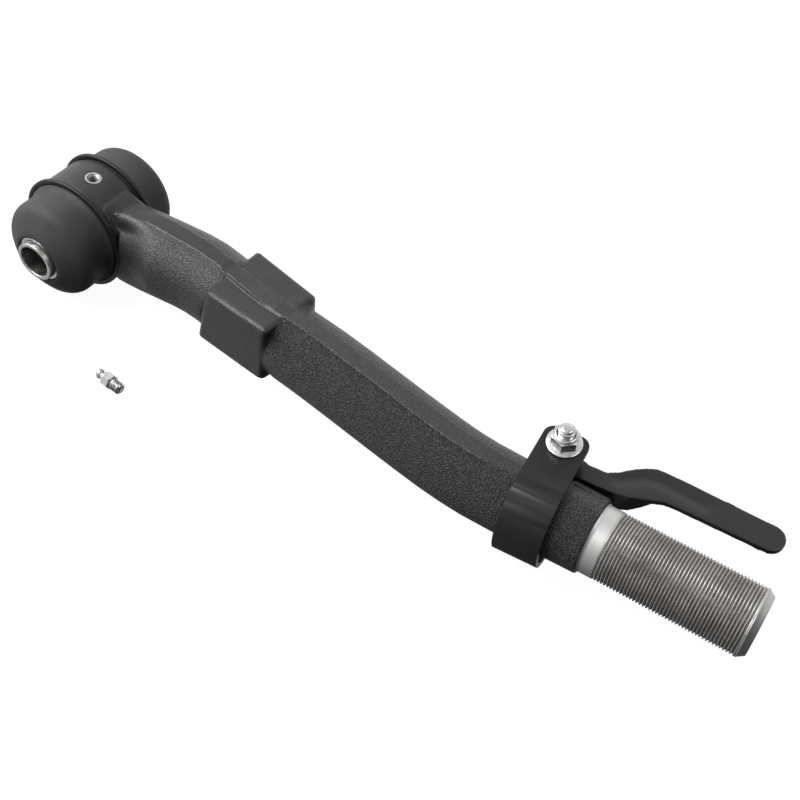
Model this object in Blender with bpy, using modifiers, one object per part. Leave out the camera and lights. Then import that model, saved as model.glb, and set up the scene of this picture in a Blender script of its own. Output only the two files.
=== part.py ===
"""Tie rod end with a through-sleeve ball joint, a threaded shank, a loose strap clamp and a grease fitting.

Metres, +Z up. +X runs along the rod from the joint head to the threaded tip and +Y along the joint's sleeve.
The sizes below are in millimetres. The rod's thread axis is y = 0, z = 0 until the last step, which puts
the origin under the middle of the whole object, on the floor.
"""

import math

import bmesh
import bpy
from mathutils import Matrix, Vector

MM = 0.001

# Thread and collar
THREAD_R = 21.0
THREAD_ROOT_X = -30.0
THREAD_CHAMFER_X = 88.5
THREAD_TIP_X = 93.0
THREAD_TIP_R = 17.6
COLLAR_END_X = -8.0

# Shank: x, y of the centre line and the radius there
SHANK = [
    (-402.0, 38.0, 20.0),
    (-396.0, 38.1, 23.5),
    (-388.0, 38.2, 25.8),
    (-380.0, 38.4, 26.8),
    (-372.0, 38.6, 27.2),
    (-360.0, 39.0, 27.3),
    (-345.0, 39.8, 27.2),
    (-330.0, 40.4, 27.0),
    (-318.0, 40.0, 26.8),
    (-305.0, 37.9, 26.3),
    (-294.0, 35.6, 26.0),
    (-289.0, 34.4, 24.5),
    (-285.0, 33.6, 21.5),
    (-265.0, 29.0, 21.0),
    (-245.0, 25.2, 21.0),
    (-241.0, 24.8, 23.0),
    (-235.0, 24.4, 25.0),
    (-223.0, 22.6, 25.0),
    (-210.0, 20.6, 25.0),
    (-190.0, 17.0, 24.9),
    (-170.0, 13.1, 24.7),
    (-150.0, 9.2, 24.5),
    (-130.0, 5.4, 24.3),
    (-110.0, 1.9, 24.1),
    (-96.0, 0.0, 23.9),
    (-82.0, -1.1, 23.8),
    (-60.0, -1.3, 23.6),
    (-35.0, -0.6, 23.3),
    (-20.0, -0.2, 23.1),
    (-8.9, 0.0, 22.9),
    (COLLAR_END_X, 0.0, 22.1),
]
SHANK_SIDES = 40
SQUARE_END_X = -12.0
FLASH_HALF = 6.0
FLASH_PROUD = 0.6
FLASH_FROM_X = -372.0
FLASH_TO_X = -84.0
FLASH_STEP = 12.0
FLASH_ROOT = 7.0
FLASH_SINK = 0.7
FLASH_START_FADE = 10.0
FLASH_END_FADE = 30.0
# The strip keeps its height where it crosses the block
FLASH_LEVEL_FROM_X = -296.0
FLASH_LEVEL_TO_X = -234.0
FLASH_LEVEL_R = 25.2

# Wrench block: corners from its centre, on its near face and then its far one, from bottom left round to top left
BLOCK_CENTRE = (-265.0, 27.4, 1.2)
BLOCK_YAW = -8.8
BLOCK_NEAR = [(-35.0, -23.4, -23.2), (26.4, -23.2, -22.2), (29.5, -22.6, 24.4), (-25.5, -22.4, 22.4)]
BLOCK_FAR = [(-35.0, 30.2, -22.0), (26.4, 26.2, -22.0), (27.4, 26.2, 22.4), (-31.5, 30.4, 23.0)]
BLOCK_ROUND = 4.0

# Joint head, with distances along its axis measured from its centre
HEAD = (-418.0, 39.8, 0.0)
HOUSING_R = 38.5
HOUSING_HALF = 15.5
SPIGOT_R = 33.5
SPIGOT_HALF = 19.5
BORE_R = 29.0
GROOVE_R = 31.0
GROOVE_FROM = 15.0
GROOVE_TO = 17.0
HOUSING_BEVEL = 1.0
SPIGOT_BEVEL = 0.6
# Neck: distance from the head's centre and half its height there
NECK = [(8.0, 33.0), (26.0, 30.0), (46.5, 21.0)]
NECK_HALF_Y = HOUSING_HALF - 0.4
NECK_CORNER = 5.0
RING_ROOM_R = 42.0
RING_ROOM_FROM = 15.9
RING_ROOM_TO = 70.0
GREASE_HOLE_R = 3.5
GREASE_HOLE_FROM = 22.0
GREASE_SPOT_R = 5.8
GREASE_SEAT_R = HOUSING_R - 0.5
GREASE_LEAN = 8.0
GREASE_Y = 1.0
SLEEVE_R = 14.1
SLEEVE_BORE_R = 11.3
SLEEVE_HALF = 56.5
BALL_R = 22.5
BALL_HALF = 16.5
LINER_IN_R = 22.8
LINER_OUT_R = 25.0
LINER_HALF = 11.0
RACE_IN_R = 25.3
RACE_OUT_R = 28.7
RING_OUT_R = 41.0
RING_IN_R = 37.7
RING_FROM = 16.4
RING_TO = 19.5
LIP_RING_OUT_R = 16.2
LIP_RING_FROM = 49.0
LIP_RING_TO = 51.8

# Rubber boot: radius and distance from the head's centre, down the outside and back up the inside
BOOT = [
    (37.4, 16.0),
    (37.4, 19.9),
    (35.7, 22.2),
    (35.0, 27.0),
    (35.1, 36.0),
    (34.6, 39.6),
    (33.2, 42.6),
    (30.6, 45.4),
    (23.2, 50.4),
    (19.4, 52.6),
    (16.5, 53.4),
    (16.5, 48.5),
    (20.0, 47.6),
    (28.0, 43.0),
    (31.2, 39.8),
    (32.6, 35.0),
    (32.5, 26.0),
    (33.8, 20.4),
    (33.8, 16.0),
]

# Strap clamp, in its own axes: across its band, out along its ears, and up
CLAMP_CENTRE = (-44.6, 0.4, -2.9)
CLAMP_ROLL = 6.5
CLAMP_YAW = 4.0
STRAP_IN_R = 27.0
STRAP_T = 3.0
STRAP_W = 28.0
EAR_END = 39.5
EAR_ROUND = 7.0
LOWER_EAR_TOP = 11.0
STUD_OUT = 30.0
STUD_R = 5.0
STUD_HOLE_R = 5.5
STUD_TOP = 45.3

# Flange nut, whose outside is radius and height above its seat
NUT_AF = 15.0
NUT_H = 10.0
NUT_HEX_FROM = 0.8
NUT_HEX_TO = 8.4
NUT_TURN = 37.0
NUT_OUTSIDE = [
    (0.0, 0.0),
    (10.3, 0.0),
    (10.8, 0.5),
    (10.8, 1.0),
    (10.2, 1.3),
    (7.4, 2.0),
    (7.2, 2.5),
    (7.2, NUT_H - 1.1),
    (6.5, NUT_H - 0.2),
    (6.0, NUT_H),
    (0.0, NUT_H),
]
SLIP = 0.3

# Finger bracket, in the clamp's axes
FINGER_T = 4.0
FINGER_BOTTOM = LOWER_EAR_TOP + 0.3
FINGER_EYE_R = 9.0
FINGER_HOLE_R = 5.4
FINGER_TIP = (123.8, 39.1)
FINGER_TIP_R = 8.8
FINGER_FAR = [
    (126.0, 47.8),
    (62.0, 51.0),
    (52.4, 51.0),
    (46.7, 48.6),
    (39.4, 43.6),
    (33.9, 38.4),
    (27.4, 34.2),
    (16.1, 34.0),
    (10.0, 36.0),
    (5.2, 37.6),
]
FINGER_NEAR = [
    (4.0, 22.2),
    (36.0, 22.7),
    (45.0, 24.4),
    (56.8, 28.8),
    (64.0, 31.4),
    (70.0, 31.8),
    (122.0, 30.4),
]
# Flange turned down along the elbow's near edge: across, out and the height of its lower edge
FINGER_FLANGE = [
    (14.8, 22.6, 6.0),
    (25.0, 22.4, 4.4),
    (35.0, 22.9, 1.8),
    (41.0, 23.8, -0.4),
    (46.0, 25.1, 0.6),
    (52.5, 27.5, 5.5),
    (58.5, 30.0, 11.5),
]
FLANGE_T = 3.6

# Grease fitting, lying on the floor beside the rod
FITTING_AT = (-332.0, -45.0)
FITTING_YAW = -8.3
FLOOR_Z = -41.0
FITTING_HEX_AF = 9.0
FITTING_HEX_HALF = 3.0
# Radius and distance from the hexagon's middle, from the nipple's tip to the tail's end
FITTING_OUTSIDE = [
    (0.0, -10.5),
    (2.3, -10.5),
    (3.2, -9.2),
    (3.3, -8.0),
    (2.4, -6.4),
    (2.4, -5.2),
    (3.9, -4.4),
    (3.9, 3.9),
    (3.5, 4.3),
    (3.95, 4.8),
    (3.95, 10.4),
    (3.2, 11.5),
    (0.0, 11.5),
]
FITTING_BORE = [
    (0.0, -15.0),
    (0.9, -15.0),
    (0.9, -9.9),
    (1.7, -8.9),
    (1.7, 9.6),
    (1.3, 10.2),
    (1.3, 15.0),
    (0.0, 15.0),
]
CHECK_BALL_R = 1.25
CHECK_BALL_AT = -8.8
COIL_R = 1.1
COIL_WIRE_R = 0.22
COIL_FROM = -7.2
COIL_TO = 9.3
COIL_TURNS = 9
COIL_STEPS = 8
COIL_SIDES = 5

# Rings inside the head: depth of each race, section of the spring and of the snap rings
RACE_DEPTHS = {"race_near": 14.7, "race_far": 12.9}
PRELOAD_SPRING = [(25.6, 13.2), (28.6, 14.0), (28.6, 14.8), (25.6, 14.0)]
SNAP_IN_R = 25.8
SNAP_OUT_R = 30.6
SNAP_FROM = 15.2
SNAP_TO = 16.8
SNAP_GAP = 14.0


def clear_scene():
    for obj in list(bpy.data.objects):
        bpy.data.objects.remove(obj, do_unlink=True)


def collection(name):
    made = bpy.data.collections.new(name)
    bpy.context.scene.collection.children.link(made)
    return made


def material(name, colour, metallic, roughness):
    made = bpy.data.materials.new(name)
    made.use_nodes = True
    shader = made.node_tree.nodes["Principled BSDF"]
    shader.inputs["Base Color"].default_value = (*colour, 1.0)
    shader.inputs["Metallic"].default_value = metallic
    shader.inputs["Roughness"].default_value = roughness
    made.diffuse_color = (*colour, 1.0)
    return made


def finish_mesh(bm, name, place, into):
    """Links the bmesh as an object, turned and moved by place, whose lengths are in millimetres."""
    bmesh.ops.recalc_face_normals(bm, faces=bm.faces[:])
    mesh = bpy.data.meshes.new(name)
    bm.to_mesh(mesh)
    bm.free()
    mesh.transform(Matrix.Scale(MM, 4) @ place)
    obj = bpy.data.objects.new(name, mesh)
    into.objects.link(obj)
    return obj


def turned(name, profile, place, into, steps=48):
    """A solid of revolution about local Z from a closed profile of (radius, height) points."""
    bm = bmesh.new()
    ring = [bm.verts.new((r, 0.0, h)) for r, h in profile]
    edges = [bm.edges.new((ring[i - 1], ring[i])) for i in range(len(ring))]
    bmesh.ops.spin(
        bm,
        geom=ring + edges,
        cent=(0.0, 0.0, 0.0),
        axis=(0.0, 0.0, 1.0),
        angle=math.tau,
        steps=steps,
        use_merge=True,
        use_normal_flip=False,
    )
    bmesh.ops.remove_doubles(bm, verts=bm.verts[:], dist=1e-4)
    flat = [f for f in bm.faces if f.calc_area() < 1e-9]
    bmesh.ops.delete(bm, geom=flat, context="FACES")
    on_axis = [e for e in bm.edges if e.is_wire]
    bmesh.ops.delete(bm, geom=on_axis, context="EDGES")
    return finish_mesh(bm, name, place, into)


def prism(name, outline, low, high, place, into, round_edges=0.0, segments=1):
    """An outline in local XY, pushed up from low to high, with its upper and lower edges rounded."""
    bm = bmesh.new()
    base = bm.faces.new([bm.verts.new((x, y, low)) for x, y in outline])
    pushed = bmesh.ops.extrude_face_region(bm, geom=[base])
    top = [v for v in pushed["geom"] if isinstance(v, bmesh.types.BMVert)]
    bmesh.ops.translate(bm, verts=top, vec=(0.0, 0.0, high - low))
    if round_edges:
        rims = [e for e in bm.edges if abs(e.verts[0].co.z - e.verts[1].co.z) < 1e-6]
        bmesh.ops.bevel(
            bm,
            geom=rims,
            offset=round_edges,
            offset_type="OFFSET",
            segments=segments,
            profile=0.5,
            affect="EDGES",
        )
    return finish_mesh(bm, name, place, into)


def skinned(name, rings, place, into):
    """A closed body through a row of rings that hold the same number of points."""
    bm = bmesh.new()
    loops = []
    for points in rings:
        verts = [bm.verts.new(p) for p in points]
        loops.append([bm.edges.new((verts[i - 1], verts[i])) for i in range(len(verts))])
    for first, second in zip(loops, loops[1:]):
        bmesh.ops.bridge_loops(bm, edges=first + second)
    bmesh.ops.holes_fill(bm, edges=[e for e in bm.edges if e.is_boundary])
    return finish_mesh(bm, name, place, into)


def rounded_block(name, corners, rounding, place, into, segments):
    """A cube pulled to eight corners, given per side as in BLOCK_NEAR and BLOCK_FAR, with its edges rounded."""
    bm = bmesh.new()
    bmesh.ops.create_cube(bm, size=1.0)
    order = [(-1, -1), (1, -1), (1, 1), (-1, 1)]
    for vert in bm.verts:
        side = corners[0] if vert.co.y < 0 else corners[1]
        across = (1 if vert.co.x > 0 else -1, 1 if vert.co.z > 0 else -1)
        vert.co = side[order.index(across)]
    bmesh.ops.bevel(
        bm,
        geom=bm.edges[:],
        offset=rounding,
        offset_type="OFFSET",
        segments=segments,
        profile=0.5,
        affect="EDGES",
    )
    return finish_mesh(bm, name, place, into)


def rounded_box(name, size, rounding, place, into):
    half_x, half_y, half_z = (edge / 2 for edge in size)
    faces = []
    for y in (-half_y, half_y):
        faces.append([(-half_x, y, -half_z), (half_x, y, -half_z), (half_x, y, half_z), (-half_x, y, half_z)])
    return rounded_block(name, faces, rounding, place, into, 1)


def combine(obj, other, operation):
    step = obj.modifiers.new(f"{operation.lower()}_{other.name}", "BOOLEAN")
    step.operation = operation
    step.object = other
    step.solver = "EXACT"


def arc(radius, start, end, steps, centre=(0.0, 0.0)):
    """Points on a circle from start to end, in degrees."""
    turns = [math.radians(start + (end - start) * i / steps) for i in range(steps + 1)]
    return [(centre[0] + radius * math.cos(t), centre[1] + radius * math.sin(t)) for t in turns]


def sphere_arc(radius, low, high, steps):
    """(radius, height) points down a sphere's meridian between two heights."""
    start = math.asin(low / radius)
    end = math.asin(high / radius)
    turns = [start + (end - start) * i / steps for i in range(steps + 1)]
    return [(radius * math.cos(t), radius * math.sin(t)) for t in turns]


def chamfered_ring(inner, outer, low, high, bevel):
    return [
        (inner, low + bevel),
        (inner + bevel, low),
        (outer - bevel, low),
        (outer, low + bevel),
        (outer, high - bevel),
        (outer - bevel, high),
        (inner + bevel, high),
        (inner, high - bevel),
    ]


def plain_ring(inner, outer, low, high):
    return [(inner, low), (outer, low), (outer, high), (inner, high)]


def shank_at(x):
    """Centre line y and radius of the shank at x."""
    for (xa, ya, ra), (xb, yb, rb) in zip(SHANK, SHANK[1:]):
        if xa <= x <= xb:
            t = (x - xa) / (xb - xa)
            return ya + (yb - ya) * t, ra + (rb - ra) * t
    return SHANK[-1][1], SHANK[-1][2]


clear_scene()
parts = collection("tie_rod_end")
cutters = collection("cutters")
cutters.hide_render = True

along_x = Matrix.Rotation(math.radians(90), 4, "Y")
head_at = Matrix.Translation(HEAD)
# Local Z of a turned head piece is the sleeve's axis, +Y
head_far = head_at @ Matrix.Rotation(math.radians(-90), 4, "X")
head_near = head_at @ Matrix.Rotation(math.radians(90), 4, "X")
clamp = (
    Matrix.Translation(CLAMP_CENTRE)
    @ Matrix.Rotation(math.radians(CLAMP_YAW), 4, "Z")
    @ Matrix.Rotation(math.radians(CLAMP_ROLL), 4, "X")
)

paint = material("black_forging", (0.02, 0.02, 0.021), 0.2, 0.45)
steel = material("bright_steel", (0.62, 0.62, 0.61), 1.0, 0.3)
rubber = material("rubber", (0.015, 0.015, 0.016), 0.0, 0.6)
satin = material("satin_black", (0.018, 0.018, 0.018), 0.1, 0.35)
zinc = material("zinc", (0.78, 0.79, 0.8), 1.0, 0.22)
liner_grey = material("liner", (0.3, 0.28, 0.22), 0.0, 0.5)


# Forged bar: one forging with its head, shank, wrench block, collar and threaded end
rings = []
for index, (x, y, r) in enumerate(SHANK):
    before = SHANK[max(index - 1, 0)]
    after = SHANK[min(index + 1, len(SHANK) - 1)]
    slope = 0.0 if x > SQUARE_END_X else math.atan2(after[1] - before[1], after[0] - before[0])
    ring = []
    for k in range(SHANK_SIDES):
        t = math.tau * k / SHANK_SIDES
        side = r * math.cos(t)
        ring.append((x - side * math.sin(slope), y + side * math.cos(slope), r * math.sin(t)))
    rings.append(ring)
forged_bar = skinned("forged_bar", rings, Matrix.Identity(4), parts)
# Room behind the head's housing for the bands and boots
for name, place in (("ring_room_near", head_near), ("ring_room_far", head_far)):
    room = plain_ring(0.0, RING_ROOM_R, RING_ROOM_FROM, RING_ROOM_TO)
    combine(forged_bar, turned(name, room, place, cutters, steps=72), "DIFFERENCE")

housing = turned(
    "housing_block",
    [
        (0.0, -SPIGOT_HALF),
        (SPIGOT_R - SPIGOT_BEVEL, -SPIGOT_HALF),
        (SPIGOT_R, -SPIGOT_HALF + SPIGOT_BEVEL),
        (SPIGOT_R, -HOUSING_HALF),
        (HOUSING_R - HOUSING_BEVEL, -HOUSING_HALF),
        (HOUSING_R, -HOUSING_HALF + HOUSING_BEVEL),
        (HOUSING_R, HOUSING_HALF - HOUSING_BEVEL),
        (HOUSING_R - HOUSING_BEVEL, HOUSING_HALF),
        (SPIGOT_R, HOUSING_HALF),
        (SPIGOT_R, SPIGOT_HALF - SPIGOT_BEVEL),
        (SPIGOT_R - SPIGOT_BEVEL, SPIGOT_HALF),
        (0.0, SPIGOT_HALF),
    ],
    head_far,
    cutters,
    steps=72,
)
neck_rings = []
for from_head, half_z in NECK:
    box = []
    for sy, sz, start in ((1, 1, 0), (-1, 1, 90), (-1, -1, 180), (1, -1, 270)):
        middle = (sy * (NECK_HALF_Y - NECK_CORNER), sz * (half_z - NECK_CORNER))
        box += arc(NECK_CORNER, start, start + 90, 4, middle)
    neck_rings.append([(HEAD[0] + from_head, HEAD[1] + a, b) for a, b in box])
neck = skinned("neck_block", neck_rings, Matrix.Identity(4), cutters)
block_place = Matrix.Translation(BLOCK_CENTRE) @ Matrix.Rotation(math.radians(BLOCK_YAW), 4, "Z")
block = rounded_block("wrench_block", (BLOCK_NEAR, BLOCK_FAR), BLOCK_ROUND, block_place, cutters, 3)
stud_end = turned(
    "threaded_end",
    [
        (0.0, THREAD_ROOT_X),
        (THREAD_R - 1.5, THREAD_ROOT_X),
        (THREAD_R, THREAD_ROOT_X + 1.5),
        (THREAD_R, THREAD_CHAMFER_X),
        (THREAD_TIP_R, THREAD_TIP_X),
        (0.0, THREAD_TIP_X),
    ],
    along_x,
    cutters,
    steps=64,
)
flash_bodies = []
for side, flash_name in ((1.0, "flash_top"), (-1.0, "flash_bottom")):
    flash_rings = []
    x = FLASH_FROM_X
    while x <= FLASH_TO_X:
        y, r = shank_at(x)
        if FLASH_LEVEL_FROM_X < x < FLASH_LEVEL_TO_X:
            r = FLASH_LEVEL_R
        fade = min(1.0, (FLASH_TO_X - x) / FLASH_END_FADE, (x - FLASH_FROM_X) / FLASH_START_FADE + 0.2)
        top = r + FLASH_PROUD * fade - FLASH_SINK * (1.0 - fade)
        half = FLASH_HALF * (0.5 + 0.5 * fade)
        flash_rings.append(
            [
                (x, y - half, side * top),
                (x, y + half, side * top),
                (x, y + half, side * (r - FLASH_ROOT)),
                (x, y - half, side * (r - FLASH_ROOT)),
            ]
        )
        x += FLASH_STEP
    flash_bodies.append(skinned(flash_name, flash_rings, Matrix.Identity(4), cutters))
head_bore = turned(
    "head_bore",
    [
        (0.0, -SPIGOT_HALF - 5.0),
        (BORE_R, -SPIGOT_HALF - 5.0),
        (BORE_R, -GROOVE_TO),
        (GROOVE_R, -GROOVE_TO),
        (GROOVE_R, -GROOVE_FROM),
        (BORE_R, -GROOVE_FROM),
        (BORE_R, GROOVE_FROM),
        (GROOVE_R, GROOVE_FROM),
        (GROOVE_R, GROOVE_TO),
        (BORE_R, GROOVE_TO),
        (BORE_R, SPIGOT_HALF + 5.0),
        (0.0, SPIGOT_HALF + 5.0),
    ],
    head_far,
    cutters,
    steps=72,
)
grease_place = (
    head_at
    @ Matrix.Rotation(math.radians(GREASE_LEAN), 4, "Y")
    @ Matrix.Translation((0.0, GREASE_Y, 0.0))
)
grease_hole = turned(
    "grease_hole",
    [
        (0.0, GREASE_HOLE_FROM),
        (GREASE_HOLE_R, GREASE_HOLE_FROM),
        (GREASE_HOLE_R, GREASE_SEAT_R - 0.8),
        (GREASE_HOLE_R + 0.8, GREASE_SEAT_R),
        (GREASE_SPOT_R, GREASE_SEAT_R),
        (GREASE_SPOT_R, HOUSING_R + 6.0),
        (0.0, HOUSING_R + 6.0),
    ],
    grease_place,
    cutters,
    steps=32,
)
combine(forged_bar, neck, "UNION")
combine(forged_bar, housing, "UNION")
combine(forged_bar, block, "UNION")
combine(forged_bar, flash_bodies[0], "UNION")
combine(forged_bar, flash_bodies[1], "UNION")
combine(forged_bar, stud_end, "UNION")
combine(head_bore, grease_hole, "UNION")
combine(forged_bar, head_bore, "DIFFERENCE")
forged_bar.data.materials.append(paint)

# Sleeve and ball
inner_sleeve = turned(
    "inner_sleeve",
    chamfered_ring(SLEEVE_BORE_R, SLEEVE_R, -SLEEVE_HALF, SLEEVE_HALF, 0.6),
    head_far,
    parts,
    steps=48,
)
inner_sleeve.data.materials.append(zinc)
ball = turned(
    "ball",
    sphere_arc(BALL_R, -BALL_HALF, BALL_HALF, 10)
    + [(SLEEVE_R + 0.3, BALL_HALF), (SLEEVE_R + 0.3, -BALL_HALF)],
    head_far,
    parts,
    steps=40,
)
ball.data.materials.append(steel)
ball_liner = turned(
    "ball_liner",
    sphere_arc(LINER_OUT_R - 0.05, -LINER_HALF, LINER_HALF, 6)
    + sphere_arc(LINER_IN_R + 0.2, LINER_HALF, -LINER_HALF, 6),
    head_far,
    parts,
    steps=40,
)
ball_liner.data.materials.append(liner_grey)

# Two races, a coned preload spring and two snap rings
for node, place in (("race_near", head_near), ("race_far", head_far)):
    depth = RACE_DEPTHS[node]
    race = turned(
        node,
        sphere_arc(RACE_IN_R, 0.2, depth, 5) + [(RACE_OUT_R, depth), (RACE_OUT_R, 0.2)],
        place,
        parts,
        steps=40,
    )
    race.data.materials.append(steel)
preload_spring = turned("preload_spring", PRELOAD_SPRING, head_far, parts, steps=40)
preload_spring.data.materials.append(steel)
for node, place in (("snap_ring_near", head_near), ("snap_ring_far", head_far)):
    snap_ring = turned(node, plain_ring(SNAP_IN_R, SNAP_OUT_R, SNAP_FROM, SNAP_TO), place, parts, steps=40)
    # The split that lets the ring close up to enter its groove
    gap = rounded_box(
        f"{node}_split",
        (SNAP_GAP, 6.0, 12.0),
        0.5,
        place @ Matrix.Translation((28.0, 0.0, 16.0)),
        cutters,
    )
    combine(snap_ring, gap, "DIFFERENCE")
    snap_ring.data.materials.append(steel)

# Rubber boots with their steel bands
for end, place in (("near", head_near), ("far", head_far)):
    boot = turned(f"boot_{end}", BOOT, place, parts, steps=48)
    boot.data.materials.append(rubber)
    clamp_ring = turned(
        f"boot_clamp_ring_{end}",
        chamfered_ring(RING_IN_R, RING_OUT_R, RING_FROM, RING_TO, 0.7),
        place,
        parts,
        steps=56,
    )
    clamp_ring.data.materials.append(satin)
    lip_ring = turned(
        f"boot_lip_ring_{end}",
        plain_ring(SLEEVE_R + 0.3, LIP_RING_OUT_R, LIP_RING_FROM, LIP_RING_TO),
        place,
        parts,
        steps=36,
    )
    lip_ring.data.materials.append(steel)

# Strap clamp: a strip from the upper ear, round the shank, and out again as the lower ear
middle_r = STRAP_IN_R + STRAP_T / 2
lower_mid = LOWER_EAR_TOP - STRAP_T / 2
path = [(EAR_END + 3.0, middle_r), (30.0, middle_r), (15.0, middle_r)]
path += arc(middle_r, 90.0, 371.0, 40)
last_y, last_z = path[-1]
path += [(last_y + 0.4, lower_mid - 1.6), (last_y + 1.6, lower_mid - 0.35)]
path += [(last_y + 3.2, lower_mid), (EAR_END + 3.0, lower_mid)]
strip = bmesh.new()
left = [strip.verts.new((-STRAP_W / 2, y, z)) for y, z in path]
strip_edges = [strip.edges.new((a, b)) for a, b in zip(left, left[1:])]
swept = bmesh.ops.extrude_edge_only(strip, edges=strip_edges)
right = [v for v in swept["geom"] if isinstance(v, bmesh.types.BMVert)]
bmesh.ops.translate(strip, verts=right, vec=(STRAP_W, 0.0, 0.0))
clamp_band = finish_mesh(strip, "clamp_band", clamp, parts)
thick = clamp_band.modifiers.new("thickness", "SOLIDIFY")
thick.thickness = STRAP_T * MM
thick.offset = 0.0
thick.use_even_offset = True
ear_outline = []
for su, start, out in ((1, 0, EAR_END), (-1, 90, EAR_END)):
    corner_at = (su * (STRAP_W / 2 - EAR_ROUND), out - EAR_ROUND)
    ear_outline += arc(EAR_ROUND, start, start + 90, 8, corner_at)
ear_outline += [(-STRAP_W / 2, -40.0), (STRAP_W / 2, -40.0)]
ear_trim = prism("ear_trim", ear_outline, -45.0, 45.0, clamp, cutters)
combine(clamp_band, ear_trim, "INTERSECT")
ear_hole = turned(
    "ear_hole",
    plain_ring(0.0, STUD_HOLE_R, 5.0, 40.0),
    clamp @ Matrix.Translation((0.0, STUD_OUT, 0.0)),
    cutters,
    steps=40,
)
combine(clamp_band, ear_hole, "DIFFERENCE")
strap_edge = clamp_band.modifiers.new("edge_round", "BEVEL")
strap_edge.width = 0.35 * MM
strap_edge.segments = 1
strap_edge.limit_method = "ANGLE"
strap_edge.angle_limit = math.radians(60)
clamp_band.data.materials.append(satin)

# Stud, riveted flush into the lower ear, with a dog-point tip
clamp_stud = turned(
    "clamp_stud",
    [
        (0.0, LOWER_EAR_TOP - STRAP_T),
        (STUD_R - 0.3, LOWER_EAR_TOP - STRAP_T),
        (STUD_R, LOWER_EAR_TOP - STRAP_T + 0.3),
        (STUD_R, STUD_TOP - 2.2),
        (STUD_R - 0.9, STUD_TOP - 1.2),
        (STUD_R - 1.6, STUD_TOP - 0.4),
        (STUD_R - 2.8, STUD_TOP),
        (0.0, STUD_TOP),
    ],
    clamp @ Matrix.Translation((0.0, STUD_OUT, 0.0)),
    parts,
    steps=40,
)
clamp_stud.data.materials.append(zinc)

# Flange nut: hexagon on a coned flange, with a round locking collar on top
nut_low = STRAP_IN_R + STRAP_T + SLIP
nut_place = clamp @ Matrix.Translation((0.0, STUD_OUT, 0.0))
hexagon = arc(NUT_AF / math.sqrt(3.0), NUT_TURN, NUT_TURN + 300.0, 5)
flange_nut = prism("flange_nut", hexagon, nut_low + NUT_HEX_FROM, nut_low + NUT_HEX_TO, nut_place, parts)
nut_outside = [(r, nut_low + h) for r, h in NUT_OUTSIDE]
flange_body = turned("nut_flange", nut_outside, nut_place, cutters, steps=48)
combine(flange_nut, flange_body, "UNION")
nut_hole = plain_ring(0.0, STUD_R + SLIP, nut_low - 5.0, nut_low + NUT_H + 5.0)
nut_bore = turned("nut_bore", nut_hole, nut_place, cutters, steps=40)
combine(flange_nut, nut_bore, "DIFFERENCE")
flange_nut.data.materials.append(zinc)

# Finger bracket: an eye round the stud, a diagonal elbow and a straight strip with a round tip
outline = arc(FINGER_EYE_R, 118.0, 250.0, 12, (0.0, STUD_OUT))
outline += FINGER_NEAR
outline += arc(FINGER_TIP_R, -80.0, 80.0, 12, FINGER_TIP)
outline += FINGER_FAR
finger_bracket = prism(
    "finger_bracket",
    outline,
    FINGER_BOTTOM,
    FINGER_BOTTOM + FINGER_T,
    clamp,
    parts,
    round_edges=0.7,
    segments=2,
)
flange_rings = []
for u, v, low in FINGER_FLANGE:
    high = FINGER_BOTTOM + FINGER_T - 0.8
    flange_rings.append([(u, v, low), (u, v, high), (u, v + FLANGE_T, high), (u, v + FLANGE_T, low + 0.4)])
flange = skinned("finger_flange", flange_rings, clamp, cutters)
combine(finger_bracket, flange, "UNION")
finger_hole = turned(
    "finger_hole",
    plain_ring(0.0, FINGER_HOLE_R, 5.0, 25.0),
    clamp @ Matrix.Translation((0.0, STUD_OUT, 0.0)),
    cutters,
    steps=40,
)
combine(finger_bracket, finger_hole, "DIFFERENCE")
finger_bracket.data.materials.append(satin)

# Grease fitting: nipple, hexagon and threaded tail, hollow, with its check ball and spring inside
fitting_place = (
    Matrix.Translation((FITTING_AT[0], FITTING_AT[1], FLOOR_Z + FITTING_HEX_AF / 2))
    @ Matrix.Rotation(math.radians(FITTING_YAW), 4, "Z")
    @ along_x
)
fitting_hex = arc(FITTING_HEX_AF / math.sqrt(3.0), 30.0, 330.0, 5)
grease_fitting_body = prism(
    "grease_fitting_body",
    fitting_hex,
    -FITTING_HEX_HALF,
    FITTING_HEX_HALF,
    fitting_place,
    parts,
)
fitting_round = turned("fitting_round", FITTING_OUTSIDE, fitting_place, cutters, steps=28)
fitting_bore = turned("fitting_bore", FITTING_BORE, fitting_place, cutters, steps=20)
combine(grease_fitting_body, fitting_round, "UNION")
combine(grease_fitting_body, fitting_bore, "DIFFERENCE")
grease_fitting_body.data.materials.append(zinc)
ball_profile = []
for degrees in range(-90, 91, 20):
    t = math.radians(degrees)
    ball_profile.append((CHECK_BALL_R * math.cos(t), CHECK_BALL_R * math.sin(t) + CHECK_BALL_AT))
ball_profile[0] = (0.0, ball_profile[0][1])
ball_profile[-1] = (0.0, ball_profile[-1][1])
grease_fitting_ball = turned("grease_fitting_ball", ball_profile, fitting_place, parts, steps=16)
grease_fitting_ball.data.materials.append(steel)
coil_rings = []
coil_pitch = (COIL_TO - COIL_FROM) / COIL_TURNS
for i in range(COIL_TURNS * COIL_STEPS + 1):
    turn = math.tau * i / COIL_STEPS
    out = Vector((math.cos(turn), math.sin(turn), 0.0))
    up = Vector((0.0, 0.0, 1.0))
    centre = out * COIL_R + up * (COIL_FROM + coil_pitch * i / COIL_STEPS)
    ring = []
    for k in range(COIL_SIDES):
        t = math.tau * k / COIL_SIDES
        ring.append(centre + (out * math.cos(t) + up * math.sin(t)) * COIL_WIRE_R)
    coil_rings.append(ring)
grease_fitting_spring = skinned("grease_fitting_spring", coil_rings, fitting_place, parts)
grease_fitting_spring.data.materials.append(steel)

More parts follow.
